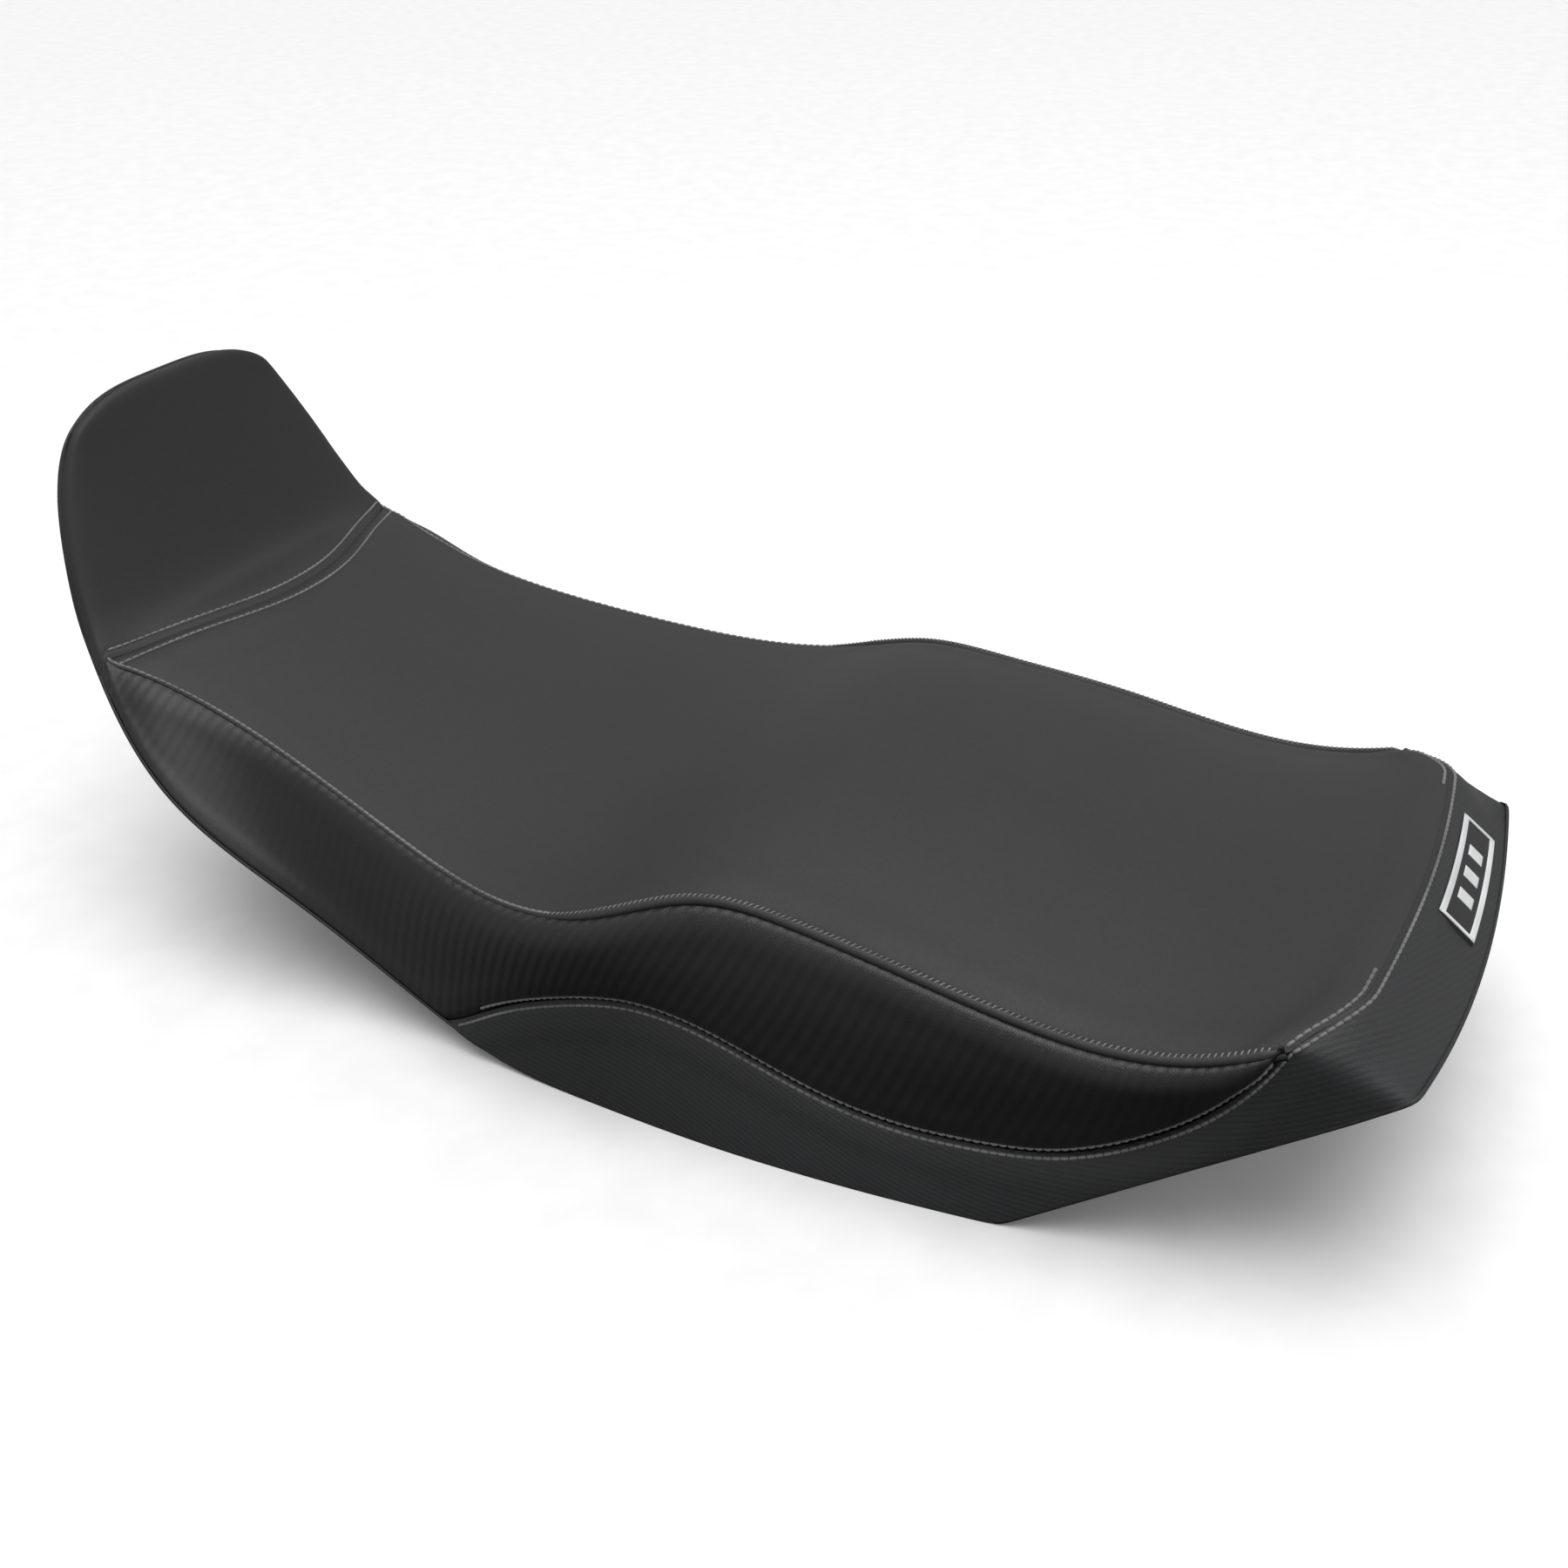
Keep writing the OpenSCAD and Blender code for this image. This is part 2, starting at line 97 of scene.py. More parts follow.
class Curve:
    """A smooth curve through stations that lie one unit of its parameter apart."""

    def __init__(self, stations: Sequence[object]) -> None:
        """Works out the curve's second derivative at each station.

        Args:
            stations: points or numbers, in millimetres.
        """
        self.points: Points = np.array(stations, float).reshape(len(stations), -1)
        count = len(self.points)
        matrix = np.eye(count)
        right = np.zeros_like(self.points)
        for i in range(1, count - 1):
            matrix[i, i - 1 : i + 2] = (1, 4, 1)
            right[i] = 6 * (self.points[i + 1] - 2 * self.points[i] + self.points[i - 1])
        self.bends: Points = np.linalg.solve(matrix, right)

    def at(self, place: Points) -> Points:
        """Gives the points at some places along the curve.

        Args:
            place: any array of parameters, from 0 to the last station's number.

        Returns:
            The points, one more dimension than place.
        """
        place = np.asarray(place, float)
        low = np.clip(np.floor(place).astype(int), 0, len(self.points) - 2)
        t = (place - low)[..., None]
        s = 1 - t
        ends = s * self.points[low] + t * self.points[low + 1]
        bend = (s**3 - s) * self.bends[low] + (t**3 - t) * self.bends[low + 1]
        return ends + bend / 6


def unit(vectors: Points) -> Points:
    """Scales vectors to length 1."""
    return vectors / np.maximum(np.linalg.norm(vectors, axis=-1, keepdims=True), 1e-9)


def graded(low: float, high: float, count: int, crowding: float = 0.75) -> Points:
    """Spaces numbers more closely towards both ends, where the seams are.

    Args:
        low: the first number.
        high: the last number.
        count: how many numbers.
        crowding: 0 for even spacing, towards 1 for close ends.

    Returns:
        The numbers in order.
    """
    s = np.linspace(-1, 1, count)
    eased = (1 - crowding) * s + crowding * np.sin(math.pi / 2 * s)
    return low + (high - low) * (eased + 1) / 2


@dataclass(frozen=True)
class SeatShape:
    """The outer surface of the seat and its pan, from a few given stations."""

    # Side seam from the tail's corner (0) to the front, then round the nose's rim.
    shoulder_stations: tuple = (
        (-321, 122, 137), (-273, 133, 116), (-218, 138, 111), (-153, 138, 120), (-93, 135, 127),
        (-43, 138, 127), (7, 149, 110), (67, 145, 102), (147, 126, 113), (232, 110, 132),
        (292, 112, 150), (320, 115, 160), (336, 105, 195), (347, 91, 233), (350, 75, 258),
    )  # fmt: skip
    # The cover's lower edge at the same stations, ahead of the kicked-up tail.
    skirt_stations: tuple = (
        (-194, 141, 0), (-133, 148, 0), (-63, 152, 0), (-3, 151, 0), (47, 149, 2), (97, 147, 17),
        (177, 146, 59), (257, 147, 107), (323, 117, 152), (341, 105, 188), (353, 90, 227), (357, 74, 253),
    )  # fmt: skip
    tail_corner: tuple = (-350, 121, 114)
    crown_stations: tuple = (6, 19, 21, 22, 22, 18, 14, 14, 14, 14, 14, 12, 10, 8, 3)
    arch_stations: tuple = (0, 14, 40, 74, 74, 70, 62, 58, 50, 30, 15, 4, 3, 2, 0)
    # Place of the lower seam on the side, from the shoulder (0) to the skirt's edge (1).
    seam_stations: tuple = (0, 0.55, 0.78, 0.74, 0.72, 0.58, 0.46, 0.62, 1)
    kick: int = 3
    nose_seam: float = 10.8
    # The rear seam turns forward by 20 mm over the last 32 mm at the corners of the tail.
    corner_cut: float = 0.42
    corner_start: float = 0.74
    tail_bow_mm: tuple = (-12, 0, 0)
    foot_bow_mm: tuple = (-10, 0, -8)
    nose_bow_mm: tuple = (3, 0, 17)
    side_bulge: float = 8.0
    side_tuck: float = 7.0
    pan_inset: float = 2.5
    pan_wall: float = 3.0
    pan_lift: float = 1.6

    def __post_init__(self) -> None:
        """Makes the curves through the stations."""
        for name in ("shoulder", "skirt", "crown", "arch", "seam"):
            object.__setattr__(self, f"{name}_curve", Curve(getattr(self, f"{name}_stations")))

    @property
    def last(self) -> int:
        """The number of the nose's front station."""
        return len(self.shoulder_stations) - 1

    @property
    def seam_end(self) -> int:
        """The number of the station where the lower seam runs out at the skirt's edge."""
        return len(self.seam_stations) - 1

    def shoulder(self, u: Points) -> Points:
        """The side seam's points on the left."""
        return self.shoulder_curve.at(u)

    def skirt(self, u: Points) -> Points:
        """The cover's lower edge on the left: straight up the tail, and then the curve.

        Args:
            u: stations along the seat.

        Returns:
            The points, none of them below the ground.
        """
        u = np.asarray(u, float)
        corner, foot = np.array(self.tail_corner, float), self.skirt_curve.points[0]
        tail = corner + (foot - corner) * (u / self.kick)[..., None]
        run = self.skirt_curve.at(np.maximum(u - self.kick, 0))
        run[..., 2] = np.maximum(run[..., 2], 0)
        return np.where((u < self.kick)[..., None], tail, run)

    def rise(self, u: Points) -> Points:
        """The upward normal of the centre line, in the seat's centre plane.

        Args:
            u: stations along the seat.

        Returns:
            Vectors of length 1.
        """
        ahead, behind = self.shoulder(np.minimum(u + 0.1, self.last)), self.shoulder(np.maximum(u - 0.1, 0))
        along = ahead - behind
        return unit(np.stack([-along[..., 2], 0 * along[..., 1], along[..., 0]], -1))

    def tail_bow(self, u: Points, v: Points) -> Points:
        """How far the tail's rounding across the seat has set in, from 0 to 1."""
        return np.maximum(1 - u, 0) ** 2 * (1 - v**2)

    def nose_bow(self, u: Points, v: Points) -> Points:
        """How far the nose's rounding across the seat has set in, from 0 to 1."""
        return (np.maximum(u - 12, 0) / 2) ** 2 * (1 - np.abs(v) ** 3.5)

    def top(self, u: Points, v: Points) -> Points:
        """Points of the top.

        Args:
            u: stations along the seat.
            v: places across it, from -1 at the right shoulder to 1 at the left.

        Returns:
            The points.
        """
        u, v = np.broadcast_arrays(np.asarray(u, float), np.asarray(v, float))
        point = self.shoulder(u) * np.stack([np.ones_like(v), v, np.ones_like(v)], -1)
        crown = np.maximum(self.crown_curve.at(u)[..., 0], 0) * (1 - np.abs(v) ** 2.4)
        point = point + crown[..., None] * self.rise(u)
        point = point + self.tail_bow(u, v)[..., None] * np.array(self.tail_bow_mm)
        return point + self.nose_bow(u, v)[..., None] * np.array(self.nose_bow_mm)

    def rear_start(self, v: Points) -> Points:
        """The station of the rear seam, which turns forward round the tail's corners into the lower seams."""
        t = np.clip((np.abs(v) - self.corner_start) / (1 - self.corner_start), 0, 1)
        return self.corner_cut * t**2

    def seam_share(self, u: Points) -> Points:
        """The lower seam's place down the side.

        Args:
            u: stations along the seat.

        Returns:
            Shares from 0 at the shoulder to 1 at the skirt's edge.
        """
        eased = np.clip((u - self.corner_cut) / (1.8 - self.corner_cut), 0, 1)
        place = np.clip(u - self.corner_cut * (1 - eased) ** 2, 0, self.seam_end)
        share = np.where(u < self.seam_end, np.clip(self.seam_curve.at(place)[..., 0], 0.02, 1), 1.0)
        return np.where(u < self.corner_cut, 0.0, share)

    def side(self, u: Points, w: Points) -> Points:
        """Points of the left side, w from 0 at the shoulder to 1 at the skirt's edge.

        Args:
            u: stations along the seat.
            w: shares of the way down.

        Returns:
            The points. The padding swells below the shoulder and is drawn in at the lower seam.
        """
        u, w = np.broadcast_arrays(np.asarray(u, float), np.asarray(w, float))
        top, foot = self.shoulder(u), self.skirt(u)
        # The pan's corner below the tail shows at the cover's lower edge and is padded out above it.
        padded = sum(self.skirt(u + step) for step in np.linspace(-0.6, 0.6, 9)) / 9
        mix = np.clip((6 - u) / 1.5, 0, 1) * (1 - w**8)
        point = top + (foot + (padded - foot) * mix[..., None] - top) * w[..., None]
        share = self.seam_share(u)
        above = np.clip(w / np.maximum(share, 1e-3), 0, 1)
        below = np.clip((w - share) / np.maximum(1 - share, 1e-3), 0, 1)
        tuck = self.side_tuck * np.clip((7.8 - u) / 2, 0, 1)
        swell = self.side_bulge * np.sin(math.pi * above**0.62) - tuck * above**2 * (1 - below) ** 1.5
        height = np.linalg.norm(foot - top, axis=-1)
        fade = np.clip((height - 8) / 60, 0, 1) * np.clip(u, 0, 1) * np.clip((self.nose_seam - u) / 3, 0, 1)
        point[..., 1] += swell * fade
        return point

    def rear(self, v: Points, k: Points) -> Points:
        """Points of the rear band.

        Args:
            v: places across the seat, from -1 to 1.
            k: shares of the way down, from 0 at the rear seam to 1 at the lower edge.

        Returns:
            The points.
        """
        v, k = np.broadcast_arrays(np.asarray(v, float), np.asarray(k, float))
        top = self.top(np.zeros_like(v), v)
        corner = np.array(self.tail_corner, float)
        foot = np.stack([corner[0] + 0 * v, v * corner[1], corner[2] + 0 * v], -1)
        foot = foot + self.tail_bow(np.zeros_like(v), v)[..., None] * np.array(self.foot_bow_mm)
        return top + (foot - top) * k[..., None]

    def pan(self, u: Points, v: Points) -> Points:
        """Points of the pan's upper face.

        Args:
            u: stations along the seat.
            v: places across it, from -1 at the pan's right edge to 1 at its left.

        Returns:
            The points.
        """
        u, v = np.broadcast_arrays(np.asarray(u, float), np.asarray(v, float))
        edge = self.skirt(u)
        point = np.stack([edge[..., 0], v * (edge[..., 1] - self.pan_inset), edge[..., 2] + self.pan_lift], -1)
        arch = np.maximum(self.arch_curve.at(u)[..., 0], 0) * (1 - v**6)
        point = point + arch[..., None] * self.rise(np.maximum(u, 1))
        point = point + self.tail_bow(u, v)[..., None] * np.array(self.foot_bow_mm)
        ends = 2 * (np.maximum(0, 1 - 2 * u) - np.maximum(0, 2 * (u - self.last) + 1))
        point[..., 0] += ends
        return point + self.nose_bow(u, v)[..., None] * np.array(self.nose_bow_mm)

    def front_foot(self, v: Points) -> Points:
        """Points of the cover's lower edge across the front of the nose."""
        edge = self.skirt(np.full_like(v, self.last)) * np.stack([np.ones_like(v), v, np.ones_like(v)], -1)
        return edge + self.nose_bow(np.full_like(v, self.last), v)[..., None] * np.array(self.nose_bow_mm)

    def bent(self, row: Points, v: Points) -> Points:
        """Bends rows near the nose seam back at the seat's middle, as the seam is cut.

        Args:
            row: the rows' stations at the shoulders.
            v: places across the seat.

        Returns:
            The stations at those places.
        """
        before = np.clip((row - 9) / (self.nose_seam - 9), 0, 1)
        after = np.clip((self.last - row) / (self.last - self.nose_seam), 0, 1)
        return row - np.where(row < self.nose_seam, before, after) * (1 - np.abs(v) ** 2.2)


# ---------------------------------------------------------------------------------------------
# Mesh making
# ---------------------------------------------------------------------------------------------


def grid_normals(grid: Points) -> Points:
    """The normals of a grid of points, by its rows and columns."""
    return unit(np.cross(np.gradient(grid, axis=0), np.gradient(grid, axis=1)))


def calm_normals(grid: Points) -> Points:
    """The grid's normals, with those of its outermost cells taken from a little further in."""
    rows, cols = (np.clip(np.arange(count), 3, count - 4) for count in grid.shape[:2])
    return grid_normals(grid)[rows][:, cols]


def edge_distance(grid: Points, edge: Edge) -> Points:
    """Measures each grid point's distance from one of the grid's edges, along the surface.

    Args:
        grid: rows and columns of points.
        edge: the edge to measure from.

    Returns:
        One distance for each point.
    """
    axis = 0 if edge in (Edge.FIRST_ROW, Edge.LAST_ROW) else 1
    steps = np.linalg.norm(np.diff(grid, axis=axis), axis=-1)
    start = np.zeros_like(np.take(steps, [0], axis=axis))
    run = np.concatenate([start, np.cumsum(steps, axis=axis)], axis=axis)
    if edge in (Edge.FIRST_ROW, Edge.FIRST_COL):
        return run
    return np.take(run, [-1], axis=axis) - run


def oriented(grid: Points, edge: Edge) -> Points:
    """Turns a grid so that one of its edges becomes its last column.

    Args:
        grid: rows and columns of points.
        edge: the edge to bring there.

    Returns:
        The turned grid.
    """
    if edge is Edge.FIRST_COL:
        return grid[:, ::-1]
    if edge is Edge.FIRST_ROW:
        return grid[::-1].swapaxes(0, 1)
    return grid.swapaxes(0, 1) if edge is Edge.LAST_ROW else grid


@dataclass(frozen=True)
class Seam:
    """How a padded cover lies beside a sewn seam. Lengths are millimetres, and may change along the seam."""

    valley: float | Points = 1.6
    reach: float = 2.2
    row: float = 4.0
    tuck: float = 0.5
    puff: float | Points = 1.0

    def lift(self, distance: Points) -> Points:
        """How far the cover stands above the plain surface beside the seam.

        Args:
            distance: millimetres from the seam.

        Returns:
            Millimetres, less than 0 where the cover is drawn in.
        """
        dip = -self.valley * np.exp(-((distance / self.reach) ** 2))
        thread = -self.tuck * np.exp(-(((distance - self.row) / 1.3) ** 2)) if self.row else 0.0
        pad = self.puff * np.exp(-(((distance - 13) / 8) ** 2))
        return dip + thread + pad


# Outward and downward distances of a seam allowance, and of its back face. The two allowances of a seam lean together.
TURN_IN = (((0.1, 0.8), (-1.2, 1.6)), ((0.8, 3.0), (-0.8, 3.2)), ((1.5, 5.0), (-0.3, 5.0)))
# The allowance is trimmed away towards a panel's corners, over this length.
TURN_IN_FADE = 12.0


@dataclass
class Panel:
    """One sewn panel: a grid of points in millimetres, its seams and its thickness."""

    grid: Points
    seams: dict[Edge, Seam] = field(default_factory=dict)
    thickness: float = 1.5

    def __post_init__(self) -> None:
        """Draws the cover in at its seams."""
        lifts = np.array([seam.lift(edge_distance(self.grid, edge)) for edge, seam in self.seams.items()])
        lift = np.minimum(lifts, 0).min(0) + np.maximum(lifts, 0).sum(0)
        self.grid = self.grid + lift[..., None] * calm_normals(self.grid)

    def row_beside(self, edge: Edge, distance: float) -> tuple[Points, Points]:
        """Finds the line on the panel at a distance from one edge.

        Args:
            edge: the edge to measure from.
            distance: millimetres along the surface.

        Returns:
            The line's points and the surface's normals there.
        """
        grid = oriented(self.grid, edge)
        normals = oriented(grid_normals(self.grid), edge)
        away = edge_distance(grid, Edge.LAST_COL)
        points, lines = [], []
        for row, normal, run in zip(grid, normals, away):
            order = np.argsort(run)
            mix = [np.interp(distance, run[order], part[order]) for part in (*row.T, *normal.T)]
            points.append(mix[:3])
            lines.append(mix[3:])
        return np.array(points), unit(np.array(lines))

    def faces(self) -> tuple[Points, Points]:
        """Gives the panel's outer and inner grids, with the allowances turned in at its seams."""
        outer, normals = self.grid, calm_normals(self.grid)
        inner = outer - self.thickness * normals
        for edge in (edge for edge in Edge if edge in self.seams):
            axis = 0 if edge in (Edge.FIRST_ROW, Edge.LAST_ROW) else 1
            last, behind = (0, 2) if edge in (Edge.FIRST_ROW, Edge.FIRST_COL) else (-1, -3)
            rim, down = np.take(outer, last, axis), np.take(normals, last, axis)
            out = unit(rim - np.take(outer, behind, axis))
            run = np.concatenate([[0], np.cumsum(np.linalg.norm(np.diff(rim, axis=0), axis=1))])
            ease = np.clip(np.minimum(run, run[-1] - run) / TURN_IN_FADE, 0.3, 1)[:, None]
            steps = TURN_IN if last else TURN_IN[::-1]
            depths = (ease, np.maximum(ease, 0.5))
            front, back = (
                np.stack([rim + step[k][0] * ease * out - step[k][1] * depths[k] * down for step in steps], axis)
                for k in (0, 1)
            )
            held = np.stack([down] * len(steps), axis)
            outer, inner, normals = (
                np.concatenate([part, more] if last else [more, part], axis)
                for part, more in ((outer, front), (inner, back), (normals, held))
            )
        # The cover's lower edge stands on the ground and no part of it goes below.
        ground = np.array([-math.inf, -math.inf, 0.05])
        return np.maximum(outer, ground), np.maximum(inner, ground)


def softened(grid: Points, axis: int, count: int, spread: float) -> Points:
    """Spaces a grid's points evenly along one axis and rounds its creases.

    Args:
        grid: rows and columns of points.
        axis: 0 to go down the columns, 1 to go along the rows.
        count: points along that axis afterwards.
        spread: the rounding, in millimetres.

    Returns:
        The new grid. Its first and last points along the axis stay put.
    """
    lines = []
    for line in np.moveaxis(grid, axis, 1):
        run = np.concatenate([[0], np.cumsum(np.linalg.norm(np.diff(line, axis=0), axis=1))])
        places = np.linspace(0, run[-1], count)
        even = np.stack([np.interp(places, run, part) for part in line.T], 1)
        sigma = spread / (run[-1] / (count - 1))
        width = min(count - 1, int(3 * sigma) + 1)
        kernel = np.exp(-0.5 * (np.arange(-width, width + 1) / max(sigma, 1e-3)) ** 2)
        before, after = 2 * even[0] - even[width:0:-1], 2 * even[-1] - even[-2 : -width - 2 : -1]
        long = np.concatenate([before, even, after])
        lines.append(np.stack([np.convolve(part, kernel / kernel.sum(), "valid") for part in long.T], 1))
    return np.moveaxis(np.array(lines), 1, axis)


def make_object(name: str, points: Points, faces: Points, uvs: Points | None = None) -> bpy.types.Object:
    """Makes a smooth mesh object.

    Args:
        name: the object's name.
        points: vertices in millimetres.
        faces: quads, as rows of four vertex numbers.
        uvs: one pair for each vertex, in metres.

    Returns:
        The object, linked to the scene.
    """
    mesh = bpy.data.meshes.new(name)
    mesh.from_pydata((np.asarray(points) * MM).tolist(), [], np.asarray(faces).tolist())
    mesh.polygons.foreach_set("use_smooth", [True] * len(mesh.polygons))
    if uvs is not None:
        layer = mesh.uv_layers.new(name="cloth")
        loops = np.empty(len(mesh.loops), int)
        mesh.loops.foreach_get("vertex_index", loops)
        layer.data.foreach_set("uv", np.asarray(uvs, float)[loops].ravel())
    mesh.validate()
    mesh.update()
    thing = bpy.data.objects.new(name, mesh)
    bpy.context.collection.objects.link(thing)
    return thing


def shell_parts(outer: Points, inner: Points) -> tuple[Points, Points]:
    """Closes two grids of the same size into one solid.

    Args:
        outer: the grid whose normals point out.
        inner: the grid behind it.

    Returns:
        The vertices and the quads.
    """
    rows, cols = outer.shape[:2]
    ids = np.arange(rows * cols).reshape(rows, cols)
    back = ids + rows * cols

    def quads(a: Points, b: Points, c: Points, d: Points) -> Points:
        """Joins four arrays of vertex numbers into quads."""
        return np.stack([x.ravel() for x in (a, b, c, d)], 1)

    faces = [
        quads(ids[:-1, :-1], ids[1:, :-1], ids[1:, 1:], ids[:-1, 1:]),
        quads(back[:-1, :-1], back[:-1, 1:], back[1:, 1:], back[1:, :-1]),
        quads(ids[:-1, 0], back[:-1, 0], back[1:, 0], ids[1:, 0]),
        quads(ids[:-1, -1], ids[1:, -1], back[1:, -1], back[:-1, -1]),
        quads(ids[0, :-1], ids[0, 1:], back[0, 1:], back[0, :-1]),
        quads(ids[-1, :-1], back[-1, :-1], back[-1, 1:], ids[-1, 1:]),
    ]
    return np.concatenate([outer.reshape(-1, 3), inner.reshape(-1, 3)]), np.concatenate(faces)


def grid_uvs(grid: Points) -> Points:
    """Unrolls a grid into cloth coordinates along its middle row and column.

    Args:
        grid: rows and columns of points.

    Returns:
        One pair in metres for each point.
    """
    rows, cols = grid.shape[:2]
    along = edge_distance(grid, Edge.FIRST_ROW)[:, cols // 2][:, None] + np.zeros((rows, cols))
    across = edge_distance(grid, Edge.FIRST_COL)
    across = across - across[:, [cols // 2]]
    return np.stack([along, across], -1).reshape(-1, 2) * MM


def make_shell(name: str, outer: Points, inner: Points) -> bpy.types.Object:
    """Makes one closed object from two grids, with cloth coordinates.

    Args:
        name: the object's name.
        outer: the grid whose normals point out.
        inner: the grid behind it.

    Returns:
        The object.
    """
    points, faces = shell_parts(outer, inner)
    uvs = grid_uvs(outer)
    return make_object(name, points, faces, np.concatenate([uvs, uvs]))


def make_panel(name: str, panel: Panel) -> bpy.types.Object:
    """Makes a sewn panel as a closed sheet of its real thickness."""
    return make_shell(name, *panel.faces())


def resample(points: Points, spacing: float) -> Points:
    """Lays points along a line at even spacing.

    Args:
        points: the line, with any number of columns; the first three are its place.
        spacing: millimetres between the new points.

    Returns:
        The new points, with the same columns.
    """
    run = np.concatenate([[0], np.cumsum(np.linalg.norm(np.diff(points[:, :3], axis=0), axis=1))])
    places = np.linspace(0, run[-1], max(2, round(run[-1] / spacing) + 1))
    return np.stack([np.interp(places, run, column) for column in points.T], 1)


def tube_parts(route: Points, ups: Points, radii: Points, sides: int) -> tuple[Points, Points]:
    """Sweeps a round section along a route and closes its ends.

    Args:
        route: the centre line.
        ups: a direction across the line at each point.
        radii: the radius at each point.
        sides: the number of sides.

    Returns:
        The vertices and the quads.
    """
    along = unit(np.gradient(route, axis=0))
    side = unit(np.cross(along, ups))
    up = np.cross(side, along)
    angles = np.arange(sides) * 2 * math.pi / sides
    ring = np.cos(angles)[None, :, None] * side[:, None] + np.sin(angles)[None, :, None] * up[:, None]
    points = (route[:, None] + radii[:, None, None] * ring).reshape(-1, 3)
    ids = np.arange(len(points)).reshape(len(route), sides)
    turned = np.roll(ids, -1, axis=1)
    faces = np.stack([ids[:-1].ravel(), turned[:-1].ravel(), turned[1:].ravel(), ids[1:].ravel()], 1)
    half = sides // 2
    caps = [[ids[0, i], ids[0, (sides - 1 - i)], ids[0, (sides - 2 - i)], ids[0, i + 1]] for i in range(half - 1)]
    tips = [[ids[-1, i + 1], ids[-1, sides - 2 - i], ids[-1, sides - 1 - i], ids[-1, i]] for i in range(half - 1)]
    return points, np.concatenate([faces, np.array(caps), np.array(tips)])[:, ::-1]


def join_parts(parts: Sequence[tuple[Points, Points]]) -> tuple[Points, Points]:
    """Puts several solids into one list of vertices and faces.

    Args:
        parts: the vertices and quads of each.

    Returns:
        The vertices and quads of all of them.
    """
    points, faces, base = [], [], 0
    for part_points, part_faces in parts:
        points.append(part_points)
        faces.append(part_faces + base)
        base += len(part_points)
    return np.concatenate(points), np.concatenate(faces)


@dataclass(frozen=True)
class Thread:
    """Topstitching thread. The real thread is about 0.5 mm thick; it is drawn coarser so that it shows."""

    radius: float = 0.78
    pitch: float = 4.0
    gap: float = 0.3

    def stitches(self, lines: Sequence[tuple[Points, Points]]) -> tuple[Points, Points]:
        """Lays separate stitches along lines on the cover.

        Args:
            lines: each line's points and the surface's normals there.

        Returns:
            The vertices and quads of all the stitches.
        """
        parts = []
        shape = np.array([0.0, 0.12, 0.5, 0.88, 1.0])
        sink = np.array([-0.55, 0.05, 0.35, 0.05, -0.55])
        girth = np.array([0.55, 0.95, 1.0, 0.95, 0.55]) * self.radius
        for points, normals in lines:
            line = resample(np.hstack([points, normals]), 0.4)
            count = int(len(line) * 0.4 / self.pitch)
            for i in range(count):
                places = (i * self.pitch + shape * (self.pitch - self.gap)) / 0.4
                spots = np.stack([np.interp(places, np.arange(len(line)), c) for c in line.T], 1)
                ups = unit(spots[:, 3:])
                parts.append(tube_parts(spots[:, :3] + sink[:, None] * ups, ups, girth, 6))
        return join_parts(parts)


def lathe_parts(
    profile: Sequence[tuple[float, float]], centre: Sequence[float], sides: int = 48
) -> tuple[Points, Points]:
    """Turns a closed outline about an upright axis.

    Args:
        profile: radius and height pairs, in order round the section; none touches the axis.
        centre: the axis's foot.
        sides: the number of steps round.

    Returns:
        The vertices and the quads.
    """
    angles = np.arange(sides) * 2 * math.pi / sides
    outline = np.array(profile, float)
    ring = np.stack([np.cos(angles), np.sin(angles)], 1)
    heights = np.broadcast_to(outline[:, None, 1:], (len(outline), sides, 1))
    points = np.concatenate([outline[:, None, :1] * ring[None], heights], -1)
    ids = np.arange(len(outline) * sides).reshape(len(outline), sides)
    down, turned = np.roll(ids, -1, axis=0), np.roll(ids, -1, axis=1)
    corner = np.roll(down, -1, axis=1)
    faces = np.stack([x.ravel() for x in (ids, turned, corner, down)], 1)
    return points.reshape(-1, 3) + np.array(centre, float), faces


# ---------------------------------------------------------------------------------------------
# Finishes
# ---------------------------------------------------------------------------------------------


def linear(colour: str) -> tuple[float, float, float, float]:
    """Turns an sRGB hex colour into Blender's linear one.

    Args:
        colour: the colour, such as "#464648".

    Returns:
        Red, green, blue and an alpha of 1.
    """
    parts = [int(colour[i : i + 2], 16) / 255 for i in (1, 3, 5)]
    light = [c / 12.92 if c <= 0.04045 else ((c + 0.055) / 1.055) ** 2.4 for c in parts]
    return (*light, 1.0)


def node(tree: bpy.types.NodeTree, kind: str, settings: Settings, links: Settings) -> bpy.types.Node:
    """Adds a node with its settings and links.

    Args:
        tree: the material's node tree.
        kind: the node's type name without the "ShaderNode" in front.
        settings: properties of the node, or, where it has an input of that name, the input's value.
        links: input names, each with the output socket that feeds it.

    Returns:
        The node.
    """
    made = tree.nodes.new(f"ShaderNode{kind}")
    for name, value in settings.items():
        if name in made.inputs:
            made.inputs[name].default_value = value
        else:
            setattr(made, name, value)
    for name, socket in links.items():
        tree.links.new(socket, made.inputs[int(name)] if name.isdigit() else made.inputs[name])
    return made


def ramp(made: bpy.types.Node, stops: Sequence[tuple[float, str]]) -> bpy.types.NodeSocket:
    """Sets a colour ramp's stops.

    Args:
        made: the ramp's node.
        stops: places from 0 to 1, each with its colour.

    Returns:
        The node's colour output.
    """
    band = made.color_ramp
    while len(band.elements) < len(stops):
        band.elements.new(0.5)
    for element, (place, colour) in zip(band.elements, stops):
        element.position, element.color = place, linear(colour)
    return made.outputs["Color"]


